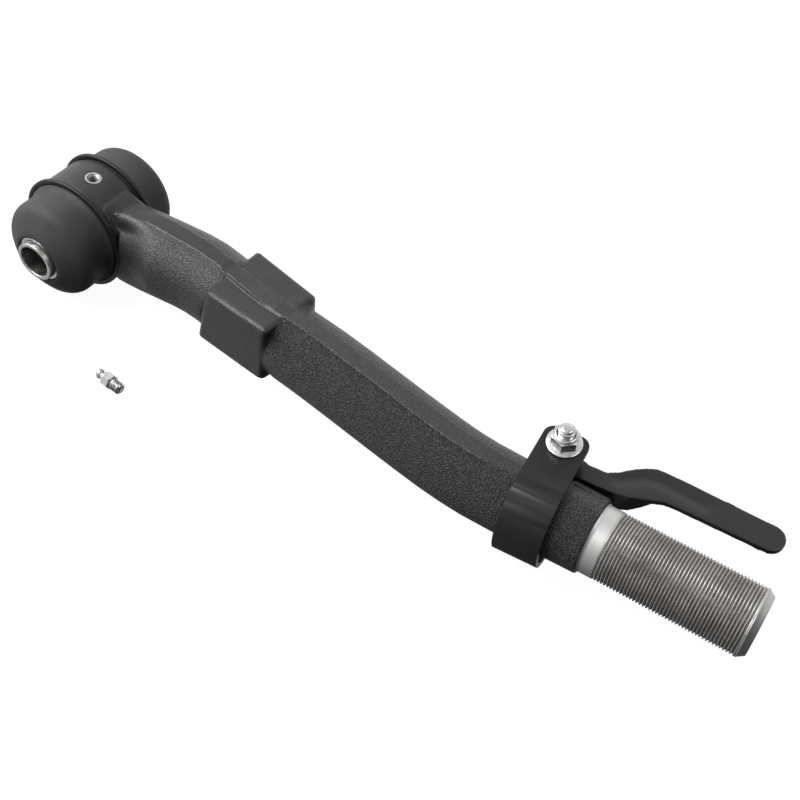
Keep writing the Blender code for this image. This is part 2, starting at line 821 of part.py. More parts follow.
# Helpers are drawn as wires only
for helper in cutters.objects:
    helper.hide_render = True
    helper.display_type = "WIRE"

# The origin goes to the floor under the middle of the whole object
bpy.context.view_layer.update()
graph = bpy.context.evaluated_depsgraph_get()
corners = []
for piece in parts.objects:
    shown = piece.evaluated_get(graph)
    corners += [vertex.co.copy() for vertex in shown.data.vertices]
lowest = Vector([min(c[i] for c in corners) for i in range(3)])
highest = Vector([max(c[i] for c in corners) for i in range(3)])
shift = Vector((-(lowest.x + highest.x) / 2, -(lowest.y + highest.y) / 2, -lowest.z))
for made in list(parts.objects) + list(cutters.objects):
    made.data.transform(Matrix.Translation(shift))
print("shift in millimetres:", [round(v * 1000, 3) for v in shift])
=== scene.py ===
"""Looks of a tie rod end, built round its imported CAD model.

Lengths are in millimetres in the rod's own frame: x from the thread's start towards the tip, y along the
head's sleeve, z up, with the thread's axis at y = 0, z = 0. Each mesh is moved into the row frame, in
metres, as it is made. The lamps are placed in the row frame itself, and values ending in _M are in metres.
"""

import math

import bmesh
import bpy
import numpy as np
from mathutils import Matrix, Vector


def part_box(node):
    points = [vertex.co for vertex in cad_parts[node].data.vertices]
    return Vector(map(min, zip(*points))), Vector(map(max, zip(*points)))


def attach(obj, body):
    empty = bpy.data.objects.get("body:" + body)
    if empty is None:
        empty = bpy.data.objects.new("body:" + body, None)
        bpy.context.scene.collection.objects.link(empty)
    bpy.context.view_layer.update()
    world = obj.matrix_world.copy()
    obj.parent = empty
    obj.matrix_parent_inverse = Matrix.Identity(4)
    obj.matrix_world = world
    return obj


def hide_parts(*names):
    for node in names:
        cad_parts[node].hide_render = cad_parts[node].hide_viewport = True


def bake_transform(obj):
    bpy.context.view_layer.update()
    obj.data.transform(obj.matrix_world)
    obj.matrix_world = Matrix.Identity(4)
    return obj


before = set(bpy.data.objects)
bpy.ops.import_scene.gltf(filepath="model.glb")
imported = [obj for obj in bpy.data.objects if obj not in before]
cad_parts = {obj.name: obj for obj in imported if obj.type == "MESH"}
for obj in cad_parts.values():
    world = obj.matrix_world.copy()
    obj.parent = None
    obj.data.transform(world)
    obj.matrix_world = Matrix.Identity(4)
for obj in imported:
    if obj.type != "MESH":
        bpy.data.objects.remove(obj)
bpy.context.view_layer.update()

MM = 0.001
HEAD = np.array((-418.0, 39.8, 0.0))
sleeve_low, sleeve_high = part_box("inner_sleeve")
ORIGIN = (sleeve_low + sleeve_high) / 2 - Vector(HEAD * MM)
TO_ROW = Matrix.Translation(ORIGIN) @ Matrix.Scale(MM, 4)

THREAD_R = 21.0
THREAD_PITCH = 2.0
# A metric external thread's depth, as a share of its pitch
THREAD_DEPTH_SHARE = 0.6134
LEFT_HAND = -1.0
RIGHT_HAND = 1.0
THREAD_FROM = 1.2
THREAD_TO = 88.6
TIP_X = 93.0
TIP_R = 17.6
COLLAR_END = -8.0
COLLAR_R = 22.9
# The shank's centre line is straight from here to the collar's end
STRAIGHT_FROM = -12.0

HOUSING_R = 38.5
HOUSING_HALF = 15.5
SPIGOT_R = 33.5
SPIGOT_HALF = 19.5
BORE_R = 29.0
# Space kept clear of the shank for each boot and its clamp ring
RING_ROOM_R = 42.0
RING_ROOM_FROM = 15.9
RING_ROOM_TO = 70.0
# The neck between housing and arm: distance ahead of the head's centre, and half its height
NECK = ((8.0, 33.0), (26.0, 30.0), (46.5, 21.0))
NECK_HALF = HOUSING_HALF - 0.4
GREASE_LEAN = 8.0
GREASE_Y = 1.0
SPOT_FLOOR = HOUSING_R - 0.6

SLEEVE_HALF = 56.5
SLEEVE_R = 14.1
SLEEVE_BORE_R = 11.3

BLOCK_CENTRE = np.array((-265.0, 27.4, 1.2))
BLOCK_YAW = math.radians(-8.8)
# The block's corners from its centre, on each face from bottom left round to top left
BLOCK_NEAR = [(-35.0, -23.4, -23.2), (26.4, -23.2, -22.2), (29.5, -22.6, 24.4), (-25.5, -22.4, 22.4)]
BLOCK_FAR = [(-35.0, 30.2, -22.0), (26.4, 26.2, -22.0), (27.4, 26.2, 22.4), (-31.5, 30.4, 23.0)]
BLOCK_ROUND = 3.6

# The trimmed flash line: its run along the shank, and the block it crosses at its own radius
STRIP_RUN = (-374.0, -58.0)
STRIP_OVER_BLOCK = (-296.0, -234.0)
STRIP_OVER_BLOCK_R = 25.3
STRIP_HALF = 6.0
STRIP_DEEP = 7.0
COLLAR_LINE_X = (-32.0, -28.0, -20.0, -12.0, -9.2)
COLLAR_LINE_LEAN = math.radians(-40.0)
# How deep the arm is hollowed behind the near boot, how far from the head's centre the arm's root is
# softened, and how far the block's fillets reach
HOLLOW_DEPTH = 7.0
HEAD_FILLET = (38.8, 64.0)
FILLET_REACH = 7.0

# x, centre line y and radius of the shank
SHANK = np.array(
    [
        (-402.0, 38.0, 20.0),
        (-396.0, 38.1, 23.5),
        (-388.0, 38.2, 25.8),
        (-380.0, 38.4, 26.8),
        (-372.0, 38.6, 27.2),
        (-360.0, 39.0, 27.3),
        (-345.0, 39.8, 27.2),
        (-330.0, 40.4, 27.0),
        (-318.0, 40.0, 26.8),
        (-305.0, 37.9, 26.3),
        (-294.0, 35.6, 26.0),
        (-289.0, 34.4, 24.5),
        (-285.0, 33.6, 21.5),
        (-265.0, 29.0, 21.0),
        (-245.0, 25.2, 21.0),
        (-241.0, 24.8, 23.0),
        (-235.0, 24.4, 25.0),
        (-223.0, 22.6, 25.0),
        (-210.0, 20.6, 25.0),
        (-190.0, 17.0, 24.9),
        (-170.0, 13.1, 24.7),
        (-150.0, 9.2, 24.5),
        (-130.0, 5.4, 24.3),
        (-110.0, 1.9, 24.1),
        (-96.0, 0.0, 23.9),
        (-82.0, -1.1, 23.8),
        (-60.0, -1.3, 23.6),
        (-35.0, -0.6, 23.3),
        (-20.0, -0.2, 23.1),
        (-8.6, 0.0, COLLAR_R),
        (COLLAR_END, 0.0, COLLAR_R - 0.6),
    ]
)

CLAMP = (
    Matrix.Translation((-44.6, 0.4, -2.9))
    @ Matrix.Rotation(math.radians(4.0), 4, "Z")
    @ Matrix.Rotation(math.radians(6.5), 4, "X")
)
STRAP_IN_R = 27.0
STRAP_T = 3.0
STRAP_W = 28.0
EAR_END = 39.5
EAR_ROUND = 7.0
LOWER_EAR_TOP = 11.0
STUD = Matrix.Translation((0.0, 30.0, 0.0))
STUD_R = 5.0
STUD_PITCH = 1.5
STUD_THREAD_FROM = 20.0
STUD_TOP = 45.3
STUD_HOLE_R = 5.5
NUT_LOW = STRAP_IN_R + STRAP_T + 0.3
NUT_TOP = NUT_LOW + 10.0
NUT_HEX_TO = 8.4
NUT_TURN = 37.0
NUT_AF = 15.0
NUT_FLANGE_R = 10.8
NUT_COLLAR_R = 7.2
NUT_BORE_R = 5.25

FITTING = (
    Matrix.Translation((-332.0, -45.0, -36.5))
    @ Matrix.Rotation(math.radians(-8.3), 4, "Z")
    @ Matrix.Rotation(math.radians(90.0), 4, "Y")
)
FITTING_AF = 9.0
FITTING_BORE_R = 1.7
ALONG_X = Matrix.Rotation(math.radians(90.0), 4, "Y")
FAR_SIDE = Matrix.Translation(HEAD) @ Matrix.Rotation(math.radians(-90.0), 4, "X")
NEAR_SIDE = Matrix.Translation(HEAD) @ Matrix.Rotation(math.radians(90.0), 4, "X")


# ---- Mesh helpers ----


def add_mesh(name, mesh, place):
    """An object for a mesh in millimetres, moved by place and into the row frame."""
    mesh.transform(TO_ROW @ place)
    mesh.update()
    return link_mesh(name, mesh)


def link_mesh(name, mesh):
    obj = bpy.data.objects.new(name, mesh)
    bpy.context.scene.collection.objects.link(obj)
    return obj


def mesh_of(bm, name):
    """A mesh made from a bmesh, which is freed."""
    mesh = bpy.data.meshes.new(name)
    bm.to_mesh(mesh)
    bm.free()
    return mesh


def new_object(name, points, faces, place=Matrix.Identity(4)):
    """A closed mesh object from points in millimetres, with its normals outward."""
    mesh = bpy.data.meshes.new(name)
    mesh.from_pydata([tuple(p) for p in points], [], [tuple(f) for f in faces])
    obj = add_mesh(name, mesh, place)
    bm = bmesh.new()
    bm.from_mesh(mesh)
    bmesh.ops.remove_doubles(bm, verts=bm.verts[:], dist=1e-7)
    bmesh.ops.recalc_face_normals(bm, faces=bm.faces[:])
    bm.to_mesh(mesh)
    bm.free()
    shade(obj)
    return obj


def shade(obj, angle=32.0):
    """Smooth shading, with an edge kept sharp where its faces meet at more than the angle."""
    obj.data.shade_smooth()
    obj.data.set_sharp_from_angle(angle=math.radians(angle))


def grid_faces(rows, columns, closed_rows=False):
    """Quads of a grid whose columns wrap round, and whose rows wrap too if closed_rows is set."""
    faces = []
    for i in range(rows if closed_rows else rows - 1):
        for k in range(columns):
            a = i * columns + k
            b = i * columns + (k + 1) % columns
            c = ((i + 1) % rows) * columns + (k + 1) % columns
            d = ((i + 1) % rows) * columns + k
            faces.append((a, b, c, d))
    return faces


def tube_faces(rows, columns):
    """The grid's faces, and one flat face over each of its ends."""
    last = (rows - 1) * columns
    return grid_faces(rows, columns) + [tuple(range(columns)), tuple(range(last, last + columns))]


def turned(name, profile, place, sides=128):
    """A solid of revolution about local Z, from (radius, height) points."""
    turns = np.linspace(0.0, math.tau, sides, endpoint=False)
    points = []
    for r, h in profile:
        r = max(r, 1e-4)
        points += [(r * math.cos(t), r * math.sin(t), h) for t in turns]
    return new_object(name, points, grid_faces(len(profile), sides, True), place)


def plug(radius, low, high):
    """The profile of a plain cylinder for cutting a hole."""
    return [(0.0, low), (radius, low), (radius, high), (0.0, high)]


def smooth_profile(points, sub):
    """The profile with its straight runs divided, so that normals stay even along it."""
    made = []
    for (ra, ha), (rb, hb) in zip(points, points[1:]):
        made += [(ra + (rb - ra) * i / sub, ha + (hb - ha) * i / sub) for i in range(sub)]
    return made + [points[-1]]


def rounded_profile(points, radii, steps=4):
    """A closed profile whose corners are rounded by the radii, one for each point."""
    made = []
    count = len(points)
    for i in range(count):
        here = np.array(points[i], float)
        into = np.array(points[i - 1], float) - here
        out = np.array(points[(i + 1) % count], float) - here
        r = min(radii[i], 0.49 * np.linalg.norm(into), 0.49 * np.linalg.norm(out))
        if r < 1e-6:
            made.append(tuple(here))
            continue
        start = here + into / np.linalg.norm(into) * r
        end = here + out / np.linalg.norm(out) * r
        for k in range(steps + 1):
            t = k / steps
            made.append(tuple((1 - t) ** 2 * start + 2 * t * (1 - t) * here + t * t * end))
    return made


def arc(radius, start, end, steps, centre=(0.0, 0.0)):
    turns = np.radians(np.linspace(start, end, steps + 1))
    return [(centre[0] + radius * math.cos(t), centre[1] + radius * math.sin(t)) for t in turns]


def prism(name, outline, low, high, place, bevel=0.0):
    """An outline in local XY pushed up from low to high, with its rims rounded if bevel is given."""
    bm = bmesh.new()
    base = bm.faces.new([bm.verts.new((x, y, low)) for x, y in outline])
    pushed = bmesh.ops.extrude_face_region(bm, geom=[base])
    top = [v for v in pushed["geom"] if isinstance(v, bmesh.types.BMVert)]
    bmesh.ops.translate(bm, verts=top, vec=(0.0, 0.0, high - low))
    if bevel:
        rims = [e for e in bm.edges if abs(e.verts[0].co.z - e.verts[1].co.z) < 1e-6]
        round_edges(bm, rims, bevel, 2)
    bmesh.ops.recalc_face_normals(bm, faces=bm.faces[:])
    obj = add_mesh(name, mesh_of(bm, name), place)
    shade(obj)
    return obj


def round_edges(bm, edges, offset, segments):
    bmesh.ops.bevel(
        bm,
        geom=edges,
        offset=offset,
        offset_type="OFFSET",
        segments=segments,
        profile=0.5,
        affect="EDGES",
    )


def apply_modifiers(obj):
    graph = bpy.context.evaluated_depsgraph_get()
    made = bpy.data.meshes.new_from_object(obj.evaluated_get(graph))
    obj.modifiers.clear()
    obj.data = made


def cut(obj, other, operation="DIFFERENCE"):
    step = obj.modifiers.new("cut", "BOOLEAN")
    step.operation = operation
    step.object = other
    step.solver = "EXACT"
    apply_modifiers(obj)
    bpy.data.objects.remove(other)


def join(objects, name):
    """One mesh object out of several, each a closed shell."""
    bm = bmesh.new()
    for obj in objects:
        bm.from_mesh(obj.data)
        bpy.data.objects.remove(obj)
    return link_mesh(name, mesh_of(bm, name))


def remesh(obj, voxel, smooth_steps):
    """One skin round all the object's shells, softened a little."""
    step = obj.modifiers.new("remesh", "REMESH")
    step.mode = "VOXEL"
    step.voxel_size = voxel * MM
    soften = obj.modifiers.new("soften", "SMOOTH")
    soften.factor = 0.5
    soften.iterations = smooth_steps
    apply_modifiers(obj)
    obj.data.shade_smooth()


def points_of(obj):
    """The mesh's points in millimetres in the rod's frame."""
    found = np.empty(len(obj.data.vertices) * 3)
    obj.data.vertices.foreach_get("co", found)
    return (found.reshape(-1, 3) - np.array(ORIGIN)) / MM


def set_points(obj, points):
    obj.data.vertices.foreach_set("co", (points * MM + np.array(ORIGIN)).ravel())
    obj.data.update()


def paint_attribute(obj, name, values):
    made = obj.data.attributes.new(name, "FLOAT", "POINT")
    made.data.foreach_set("value", np.asarray(values, np.float32))


def ease(t):
    """0 below t = 0 and 1 above t = 1, with a smooth rise between."""
    t = np.clip(t, 0.0, 1.0)
    return t * t * (3.0 - 2.0 * t)


# ---- Materials ----


def map_range(tree, value, low, high, to_low, to_high):
    """The output of a node that takes value from low..high to to_low..to_high."""
    node = tree.nodes.new("ShaderNodeMapRange")
    node.inputs["From Min"].default_value = low
    node.inputs["From Max"].default_value = high
    node.inputs["To Min"].default_value = to_low
    node.inputs["To Max"].default_value = to_high
    tree.links.new(value, node.inputs["Value"])
    return node.outputs["Result"]


class Nodes:
    """A Principled material with short calls for the nodes that feed it."""

    def __init__(self, name, colour, metallic, roughness, **fixed):
        self.material = bpy.data.materials.new(name)
        self.material.use_nodes = True
        self.tree = self.material.node_tree
        self.shader = self.tree.nodes["Principled BSDF"]
        self.shader.inputs["Base Color"].default_value = (*colour, 1.0)
        self.shader.inputs["Metallic"].default_value = metallic
        self.shader.inputs["Roughness"].default_value = roughness
        for socket, value in fixed.items():
            self.shader.inputs[socket.replace("_", " ")].default_value = value
        self.where = self.add("ShaderNodeTexCoord").outputs["Object"]

    def add(self, kind, **settings):
        node = self.tree.nodes.new(kind)
        for key, value in settings.items():
            setattr(node, key, value)
        return node

    def link(self, output, target):
        self.tree.links.new(output, target)

    def stretched(self, scale):
        node = self.add("ShaderNodeMapping")
        node.inputs["Scale"].default_value = scale
        self.link(self.where, node.inputs["Vector"])
        return node.outputs["Vector"]

    def noise(self, scale, detail=3.0, rough=0.55, vector=None):
        node = self.add("ShaderNodeTexNoise")
        node.inputs["Scale"].default_value = scale
        node.inputs["Detail"].default_value = detail
        node.inputs["Roughness"].default_value = rough
        self.link(vector or self.where, node.inputs["Vector"])
        return node.outputs["Fac"]

    def cells(self, scale):
        node = self.add("ShaderNodeTexVoronoi", feature="SMOOTH_F1")
        node.inputs["Scale"].default_value = scale
        node.inputs["Smoothness"].default_value = 0.6
        self.link(self.where, node.inputs["Vector"])
        return node.outputs["Distance"]

    def attribute(self, name):
        return self.add("ShaderNodeAttribute", attribute_name=name).outputs["Fac"]

    def math(self, operation, a, b):
        node = self.add("ShaderNodeMath", operation=operation)
        for socket, value in zip(node.inputs, (a, b)):
            if isinstance(value, (int, float)):
                socket.default_value = value
            else:
                self.link(value, socket)
        return node.outputs["Value"]

    def ranged(self, value, low, high, to_low, to_high):
        return map_range(self.tree, value, low, high, to_low, to_high)

    def blended(self, factor, first, second):
        node = self.add("ShaderNodeMix", data_type="RGBA")
        colours = [s for s in node.inputs if s.type == "RGBA"]
        for socket, colour in zip(colours, (first, second)):
            if isinstance(colour, tuple):
                socket.default_value = (*colour, 1.0)
            else:
                self.link(colour, socket)
        self.link(factor, node.inputs["Factor"])
        return [s for s in node.outputs if s.type == "RGBA"][0]

    def colour(self, output):
        self.link(output, self.shader.inputs["Base Color"])

    def roughness(self, output):
        self.link(output, self.shader.inputs["Roughness"])

    def bump(self, height, strength, distance):
        """Bump with its distance in millimetres, on top of any bump already there."""
        node = self.add("ShaderNodeBump")
        node.inputs["Strength"].default_value = strength
        node.inputs["Distance"].default_value = distance * MM
        self.link(height, node.inputs["Height"])
        if self.shader.inputs["Normal"].links:
            self.link(self.shader.inputs["Normal"].links[0].from_socket, node.inputs["Normal"])
        self.link(node.outputs["Normal"], self.shader.inputs["Normal"])


def forging_paint():
    """Satin black paint over a shot-blasted forging; "blast" says how grainy the surface is."""
    m = Nodes("forging_paint", (0.0095, 0.009, 0.0097), 0.0, 0.4, Specular_IOR_Level=0.36)
    blast = m.attribute("blast")
    fine = m.noise(1700.0, 2.0, 0.6)
    coarse = m.noise(930.0, 2.0, 0.6)
    pits = m.cells(1150.0)
    grain = m.math("ADD", m.math("MULTIPLY", coarse, 1.2), m.math("MULTIPLY", fine, 0.8))
    grain = m.math("ADD", grain, m.math("MULTIPLY", pits, 0.8))
    m.bump(m.math("MULTIPLY", grain, m.math("ADD", blast, 0.03)), 1.0, 1.15)
    m.bump(m.noise(60.0, 3.0), 0.25, 0.7)
    worn = m.ranged(m.noise(240.0, 4.0, 0.65), 0.35, 0.7, 0.0, 1.0)
    paint = m.blended(worn, (0.008, 0.0075, 0.0082), (0.0125, 0.0118, 0.0128))
    # Painted glints: lighter colour on the grain's crests where the grain is full
    crest_glints = m.math("MULTIPLY", m.ranged(coarse, 0.5, 0.66, 0.0, 1.0), blast)
    m.colour(m.blended(crest_glints, paint, (0.04, 0.038, 0.041)))
    m.roughness(m.ranged(coarse, 0.3, 0.7, 0.3, 0.46))
    return m.material


def turned_steel():
    """Bare turned steel: fine rings round the x axis, and painted shade darkening the thread roots where
    "root" says so.
    """
    m = Nodes("turned_steel", (0.4, 0.4, 0.39), 1.0, 0.45)
    root = m.attribute("root")
    rings = m.noise(1.0, 4.0, 0.6, m.stretched((5200.0, 30.0, 30.0)))
    stain = m.ranged(m.noise(45.0, 4.0, 0.6), 0.42, 0.68, 0.0, 0.6)
    speck = m.ranged(m.noise(420.0, 3.0, 0.65), 0.58, 0.72, 0.0, 0.55)
    bright = m.blended(rings, (0.38, 0.38, 0.375), (0.5, 0.5, 0.495))
    threaded = m.ranged(root, 0.0, 0.05, 0.0, 1.0)
    dulled = m.blended(threaded, bright, (0.42, 0.41, 0.4))
    oily = m.blended(m.math("MULTIPLY", threaded, stain), dulled, (0.17, 0.155, 0.135))
    oily = m.blended(m.math("MULTIPLY", threaded, speck), oily, (0.08, 0.078, 0.075))
    # Painted shade: the colour darkens where "root" is high, in the thread roots and deep in the grease
    # hole
    m.colour(m.blended(m.ranged(root, 0.35, 1.0, 0.0, 0.72), oily, (0.1, 0.095, 0.09)))
    m.roughness(m.ranged(root, 0.0, 1.0, 0.5, 0.6))
    m.bump(rings, 0.25, 0.03)
    return m.material


def zinc_plate(name, scale=1.0):
    """Bright zinc plate with faint clouding and hairline marks."""
    m = Nodes(name, (0.62, 0.63, 0.64), 1.0, 0.25)
    clouds = m.noise(180.0 * scale, 4.0, 0.6)
    m.colour(m.blended(m.ranged(clouds, 0.3, 0.7, 0.0, 1.0), (0.4, 0.41, 0.412), (0.54, 0.55, 0.553)))
    m.roughness(m.ranged(m.noise(420.0 * scale, 3.0), 0.3, 0.7, 0.2, 0.34))
    m.bump(m.noise(1600.0, 2.0), 0.18, 0.05)
    return m.material


def zinc_thread():
    """Zinc plate on a thread, with painted shade darkening its roots."""
    m = Nodes("zinc_thread", (0.78, 0.79, 0.80), 1.0, 0.2)
    root = m.attribute("root")
    clouds = m.noise(300.0, 4.0, 0.6)
    bright = m.blended(clouds, (0.38, 0.385, 0.388), (0.52, 0.525, 0.528))
    # Painted shade: darker in the thread roots
    m.colour(m.blended(m.ranged(root, 0.1, 1.0, 0.0, 0.85), bright, (0.06, 0.06, 0.058)))
    m.roughness(m.ranged(root, 0.0, 1.0, 0.25, 0.4))
    return m.material


def sleeve_steel():
    """The sleeve's bright end, with turning marks round its axis and small dings."""
    m = Nodes("sleeve_steel", (0.68, 0.67, 0.65), 1.0, 0.26)
    marks = m.noise(1.0, 3.0, 0.6, m.stretched((60.0, 3000.0, 60.0)))
    clouds = m.noise(260.0, 4.0, 0.6)
    bright = m.blended(m.ranged(clouds, 0.3, 0.72, 0.0, 1.0), (0.36, 0.35, 0.335), (0.56, 0.55, 0.54))
    # Painted shade: near black where "bore" is set, inside the tube
    m.colour(m.blended(m.attribute("bore"), bright, (0.03, 0.027, 0.024)))
    m.roughness(m.ranged(clouds, 0.3, 0.7, 0.26, 0.44))
    m.bump(marks, 0.2, 0.04)
    m.bump(m.noise(700.0, 3.0), 0.2, 0.08)
    return m.material


def boot_rubber():
    """Moulded rubber: nearly black, matt, with a faint bloom and fine mould texture."""
    m = Nodes("boot_rubber", (0.027, 0.0262, 0.028), 0.0, 0.62, Specular_IOR_Level=0.2)
    bloom = m.ranged(m.noise(38.0, 4.0, 0.6), 0.35, 0.7, 0.0, 1.0)
    m.colour(m.blended(bloom, (0.024, 0.0233, 0.0248), (0.034, 0.033, 0.035)))
    m.roughness(m.ranged(m.noise(160.0, 4.0, 0.6), 0.3, 0.7, 0.56, 0.7))
    m.bump(m.noise(2600.0, 2.0, 0.6), 0.25, 0.05)
    m.bump(m.noise(90.0, 3.0), 0.12, 0.4)
    return m.material


def black_coat(name, roughness, texture=0.1, specular=0.27):
    """Smooth black coat on pressed steel."""
    m = Nodes(name, (0.006, 0.0057, 0.0062), 0.0, roughness, Specular_IOR_Level=specular)
    clouds = m.noise(110.0, 4.0, 0.6)
    patchy = m.ranged(clouds, 0.3, 0.7, 0.0, 1.0)
    m.colour(m.blended(patchy, (0.0048, 0.0045, 0.005), (0.0075, 0.0071, 0.0077)))
    m.roughness(m.ranged(m.noise(300.0, 3.0), 0.3, 0.7, roughness - 0.02, roughness + 0.03))
    m.bump(m.noise(1300.0, 2.0), texture, 0.08)
    return m.material


def painted_edge_highlight():
    """Painted highlight along a pressed edge: a pale coat in broken patches on the bevel."""
    m = Nodes("painted_edge_highlight", (0.3, 0.3, 0.3), 0.0, 0.45)
    highlight_patches = m.ranged(m.noise(200.0, 4.0, 0.65), 0.44, 0.58, 0.0, 1.0)
    m.colour(m.blended(highlight_patches, (0.03, 0.03, 0.03), (0.75, 0.74, 0.72)))
    m.roughness(m.ranged(highlight_patches, 0.0, 1.0, 0.5, 0.4))
    return m.material


def plain_steel():
    """Plain machined steel for the parts inside the head and the fitting."""
    m = Nodes("inner_steel", (0.5, 0.5, 0.49), 1.0, 0.3)
    clouds = m.noise(200.0, 4.0, 0.6)
    m.colour(m.blended(clouds, (0.42, 0.42, 0.41), (0.6, 0.6, 0.59)))
    m.roughness(m.ranged(clouds, 0.3, 0.7, 0.22, 0.4))
    return m.material


def liner_plastic():
    """Pale moulded plastic for the ball's liner."""
    m = Nodes("liner_plastic", (0.3, 0.28, 0.22), 0.0, 0.5)
    clouds = m.noise(140.0, 4.0, 0.6)
    m.colour(m.blended(clouds, (0.24, 0.22, 0.17), (0.34, 0.32, 0.26)))
    m.bump(m.noise(900.0, 2.0), 0.15, 0.05)
    return m.material


PAINT = forging_paint()
STEEL = turned_steel()
ZINC = zinc_plate("zinc_plate")
SLEEVE_STEEL = sleeve_steel()
RUBBER = boot_rubber()
SATIN = black_coat("strap_coat", 0.4)
GLOSS = black_coat("finger_coat", 0.27, 0.06, 0.42)
RING_COAT = black_coat("ring_coat", 0.45, 0.2)
# Painted highlight for the strap's bevelled edges
EDGE_HIGHLIGHT = painted_edge_highlight()
INNER_STEEL = plain_steel()
LINER = liner_plastic()


def finish_piece(obj, material, body, slot, *nodes):
    """Gives the piece its material and body, and hides the CAD nodes it stands in for. slot is not used.
    """
    if material is not None:
        obj.data.materials.clear()
        obj.data.materials.append(material)
    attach(obj, body)
    if nodes:
        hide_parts(*nodes)
    return obj


# ---- Forged bar ----


def shank_at(x):
    """The shank's centre line y and radius at x."""
    return np.interp(x, SHANK[:, 0], SHANK[:, 1]), np.interp(x, SHANK[:, 0], SHANK[:, 2])


def shank_body():
    """The round shank as one closed tube along its bent centre line."""
    sides = 96
    reach = 4.0
    xs = np.unique(np.concatenate([np.arange(SHANK[0, 0], STRAIGHT_FROM, 2.0), SHANK[:, 0]]))
    points = []
    turns = np.linspace(0.0, math.tau, sides, endpoint=False)
    for x in xs:
        y, r = shank_at(x)
        rise = shank_at(x + reach)[0] - shank_at(x - reach)[0]
        slope = 0.0 if x > STRAIGHT_FROM else math.atan2(rise, 2.0 * reach)
        for t in turns:
            side = r * math.cos(t)
            points.append((x - side * math.sin(slope), y + side * math.cos(slope), r * math.sin(t)))
    return new_object("shank_body", points, tube_faces(len(xs), sides))


def lofted_box(name, stations, place=Matrix.Identity(4)):
    """A closed body through rounded rectangles: x, y, half width, top, bottom and corner radius."""
    points = []
    for x, y, half, top, bottom, corner in stations:
        middle = (top + bottom) / 2
        tall = (top - bottom) / 2
        for sy, sz, start in ((1, 1, 0), (-1, 1, 90), (-1, -1, 180), (1, -1, 270)):
            centre = (y + sy * (half - corner), middle + sz * (tall - corner))
            points += [(x, a, b) for a, b in arc(corner, start, start + 90, 5, centre)]
    faces = tube_faces(len(stations), len(points) // len(stations))
    return new_object(name, points, faces, place)


def flash_strip(side):
    """The trimmed flash line along the shank's top (side 1) or bottom (side -1).

    It drifts to the far side near the head, and narrows and sinks into the shank at both ends.
    """
    stations = []
    for x in np.arange(*STRIP_RUN, 4.0):
        y, r = shank_at(x)
        if STRIP_OVER_BLOCK[0] < x < STRIP_OVER_BLOCK[1]:
            r = STRIP_OVER_BLOCK_R
        drift = 3.0 * ease((-320.0 - x) / 50.0)
        fade = min(1.0, (-50.0 - x) / 30.0, (x + 372.0) / 12.0 + 0.3)
        half = (STRIP_HALF + 0.35 * math.sin(x * 0.09)) * (0.5 + 0.5 * fade)
        outer = side * (r + 0.55 * fade - 0.7 * (1.0 - fade))
        inner = side * (r - STRIP_DEEP)
        stations.append((x, y + drift, half, max(outer, inner), min(outer, inner), 0.4))
    return lofted_box("flash_strip", stations)


def wrench_block():
    """The square block that a wrench holds, from its eight corners, with rounded edges."""
    bm = bmesh.new()
    bmesh.ops.create_cube(bm, size=1.0)
    order = [(-1, -1), (1, -1), (1, 1), (-1, 1)]
    for vert in bm.verts:
        side = BLOCK_NEAR if vert.co.y < 0 else BLOCK_FAR
        vert.co = side[order.index((1 if vert.co.x > 0 else -1, 1 if vert.co.z > 0 else -1))]
    round_edges(bm, bm.edges[:], BLOCK_ROUND, 4)
    place = Matrix.Translation(BLOCK_CENTRE) @ Matrix.Rotation(BLOCK_YAW, 4, "Z")
    return add_mesh("wrench_block", mesh_of(bm, "wrench_block"), place)


def in_block(points):
    """Rough signed distance in millimetres to the wrench block, below zero inside it."""
    c, s = math.cos(-BLOCK_YAW), math.sin(-BLOCK_YAW)
    local = points - BLOCK_CENTRE
    u = local[:, 0] * c - local[:, 1] * s
    v = local[:, 0] * s + local[:, 1] * c
    w = local[:, 2]
    far = np.interp(u, (-31.0, 27.0), (30.3, 26.2))
    near = -23.2
    head_end = np.interp(w, (-23.0, 22.0), (-35.0, -25.5))
    thread_end = 28.5
    top = np.interp(u, (-25.5, 29.5), (22.6, 24.4))
    bottom = -22.8
    return np.max([v - far, near - v, u - thread_end, head_end - u, w - top, bottom - w], axis=0)


def hollow_behind_boot(points):
    """The points with the arm's near side pressed in where it leaves the head."""
    x, y, z = points.T
    centre_y = shank_at(x)[0]
    away = np.hypot(x - HEAD[0], z)
    near_side = ease((centre_y - 4.0 - y) / 10.0) * ease((z + 16.0) / 14.0)
    clear_of_housing = (away > HOUSING_R + 2.0) & (x > HEAD[0])
    depth = HOLLOW_DEPTH * near_side * ease((74.0 - away) / 30.0) * clear_of_housing
    outward = np.stack([np.zeros(len(x)), y - centre_y, z], axis=1)
    outward /= np.maximum(np.linalg.norm(outward, axis=1), 1.0)[:, None]
    return points - outward * depth[:, None]


def soften_junctions(bar):
    """Forging fillets where the arm meets the housing and the wrench block."""
    points = points_of(bar)
    x, y, z = points.T
    aside = np.abs(y - shank_at(x)[0])
    away = np.hypot(x - HEAD[0], z)
    off_strip = ease((aside - 8.5) / 2.0)
    behind_head = ease((away - HEAD_FILLET[0]) / 2.0) * ease((HEAD_FILLET[1] - away) / 10.0)
    near_block = ease((FILLET_REACH - np.abs(in_block(points))) / 3.0) * (aside < 24.0)
    strength = np.clip(behind_head * (x > HEAD[0]) + near_block * off_strip, 0.0, 1.0)
    group = bar.vertex_groups.new(name="fillets")
    for level in (0.25, 0.5, 0.75, 1.0):
        chosen = np.nonzero((strength > level - 0.25) & (strength <= level))[0]
        group.add(chosen.tolist(), level, "REPLACE")
    set_points(bar, hollow_behind_boot(points))
    fillet = bar.modifiers.new("fillets", "SMOOTH")
    fillet.factor = 0.5
    fillet.iterations = 40
    fillet.vertex_group = group.name
    apply_modifiers(bar)


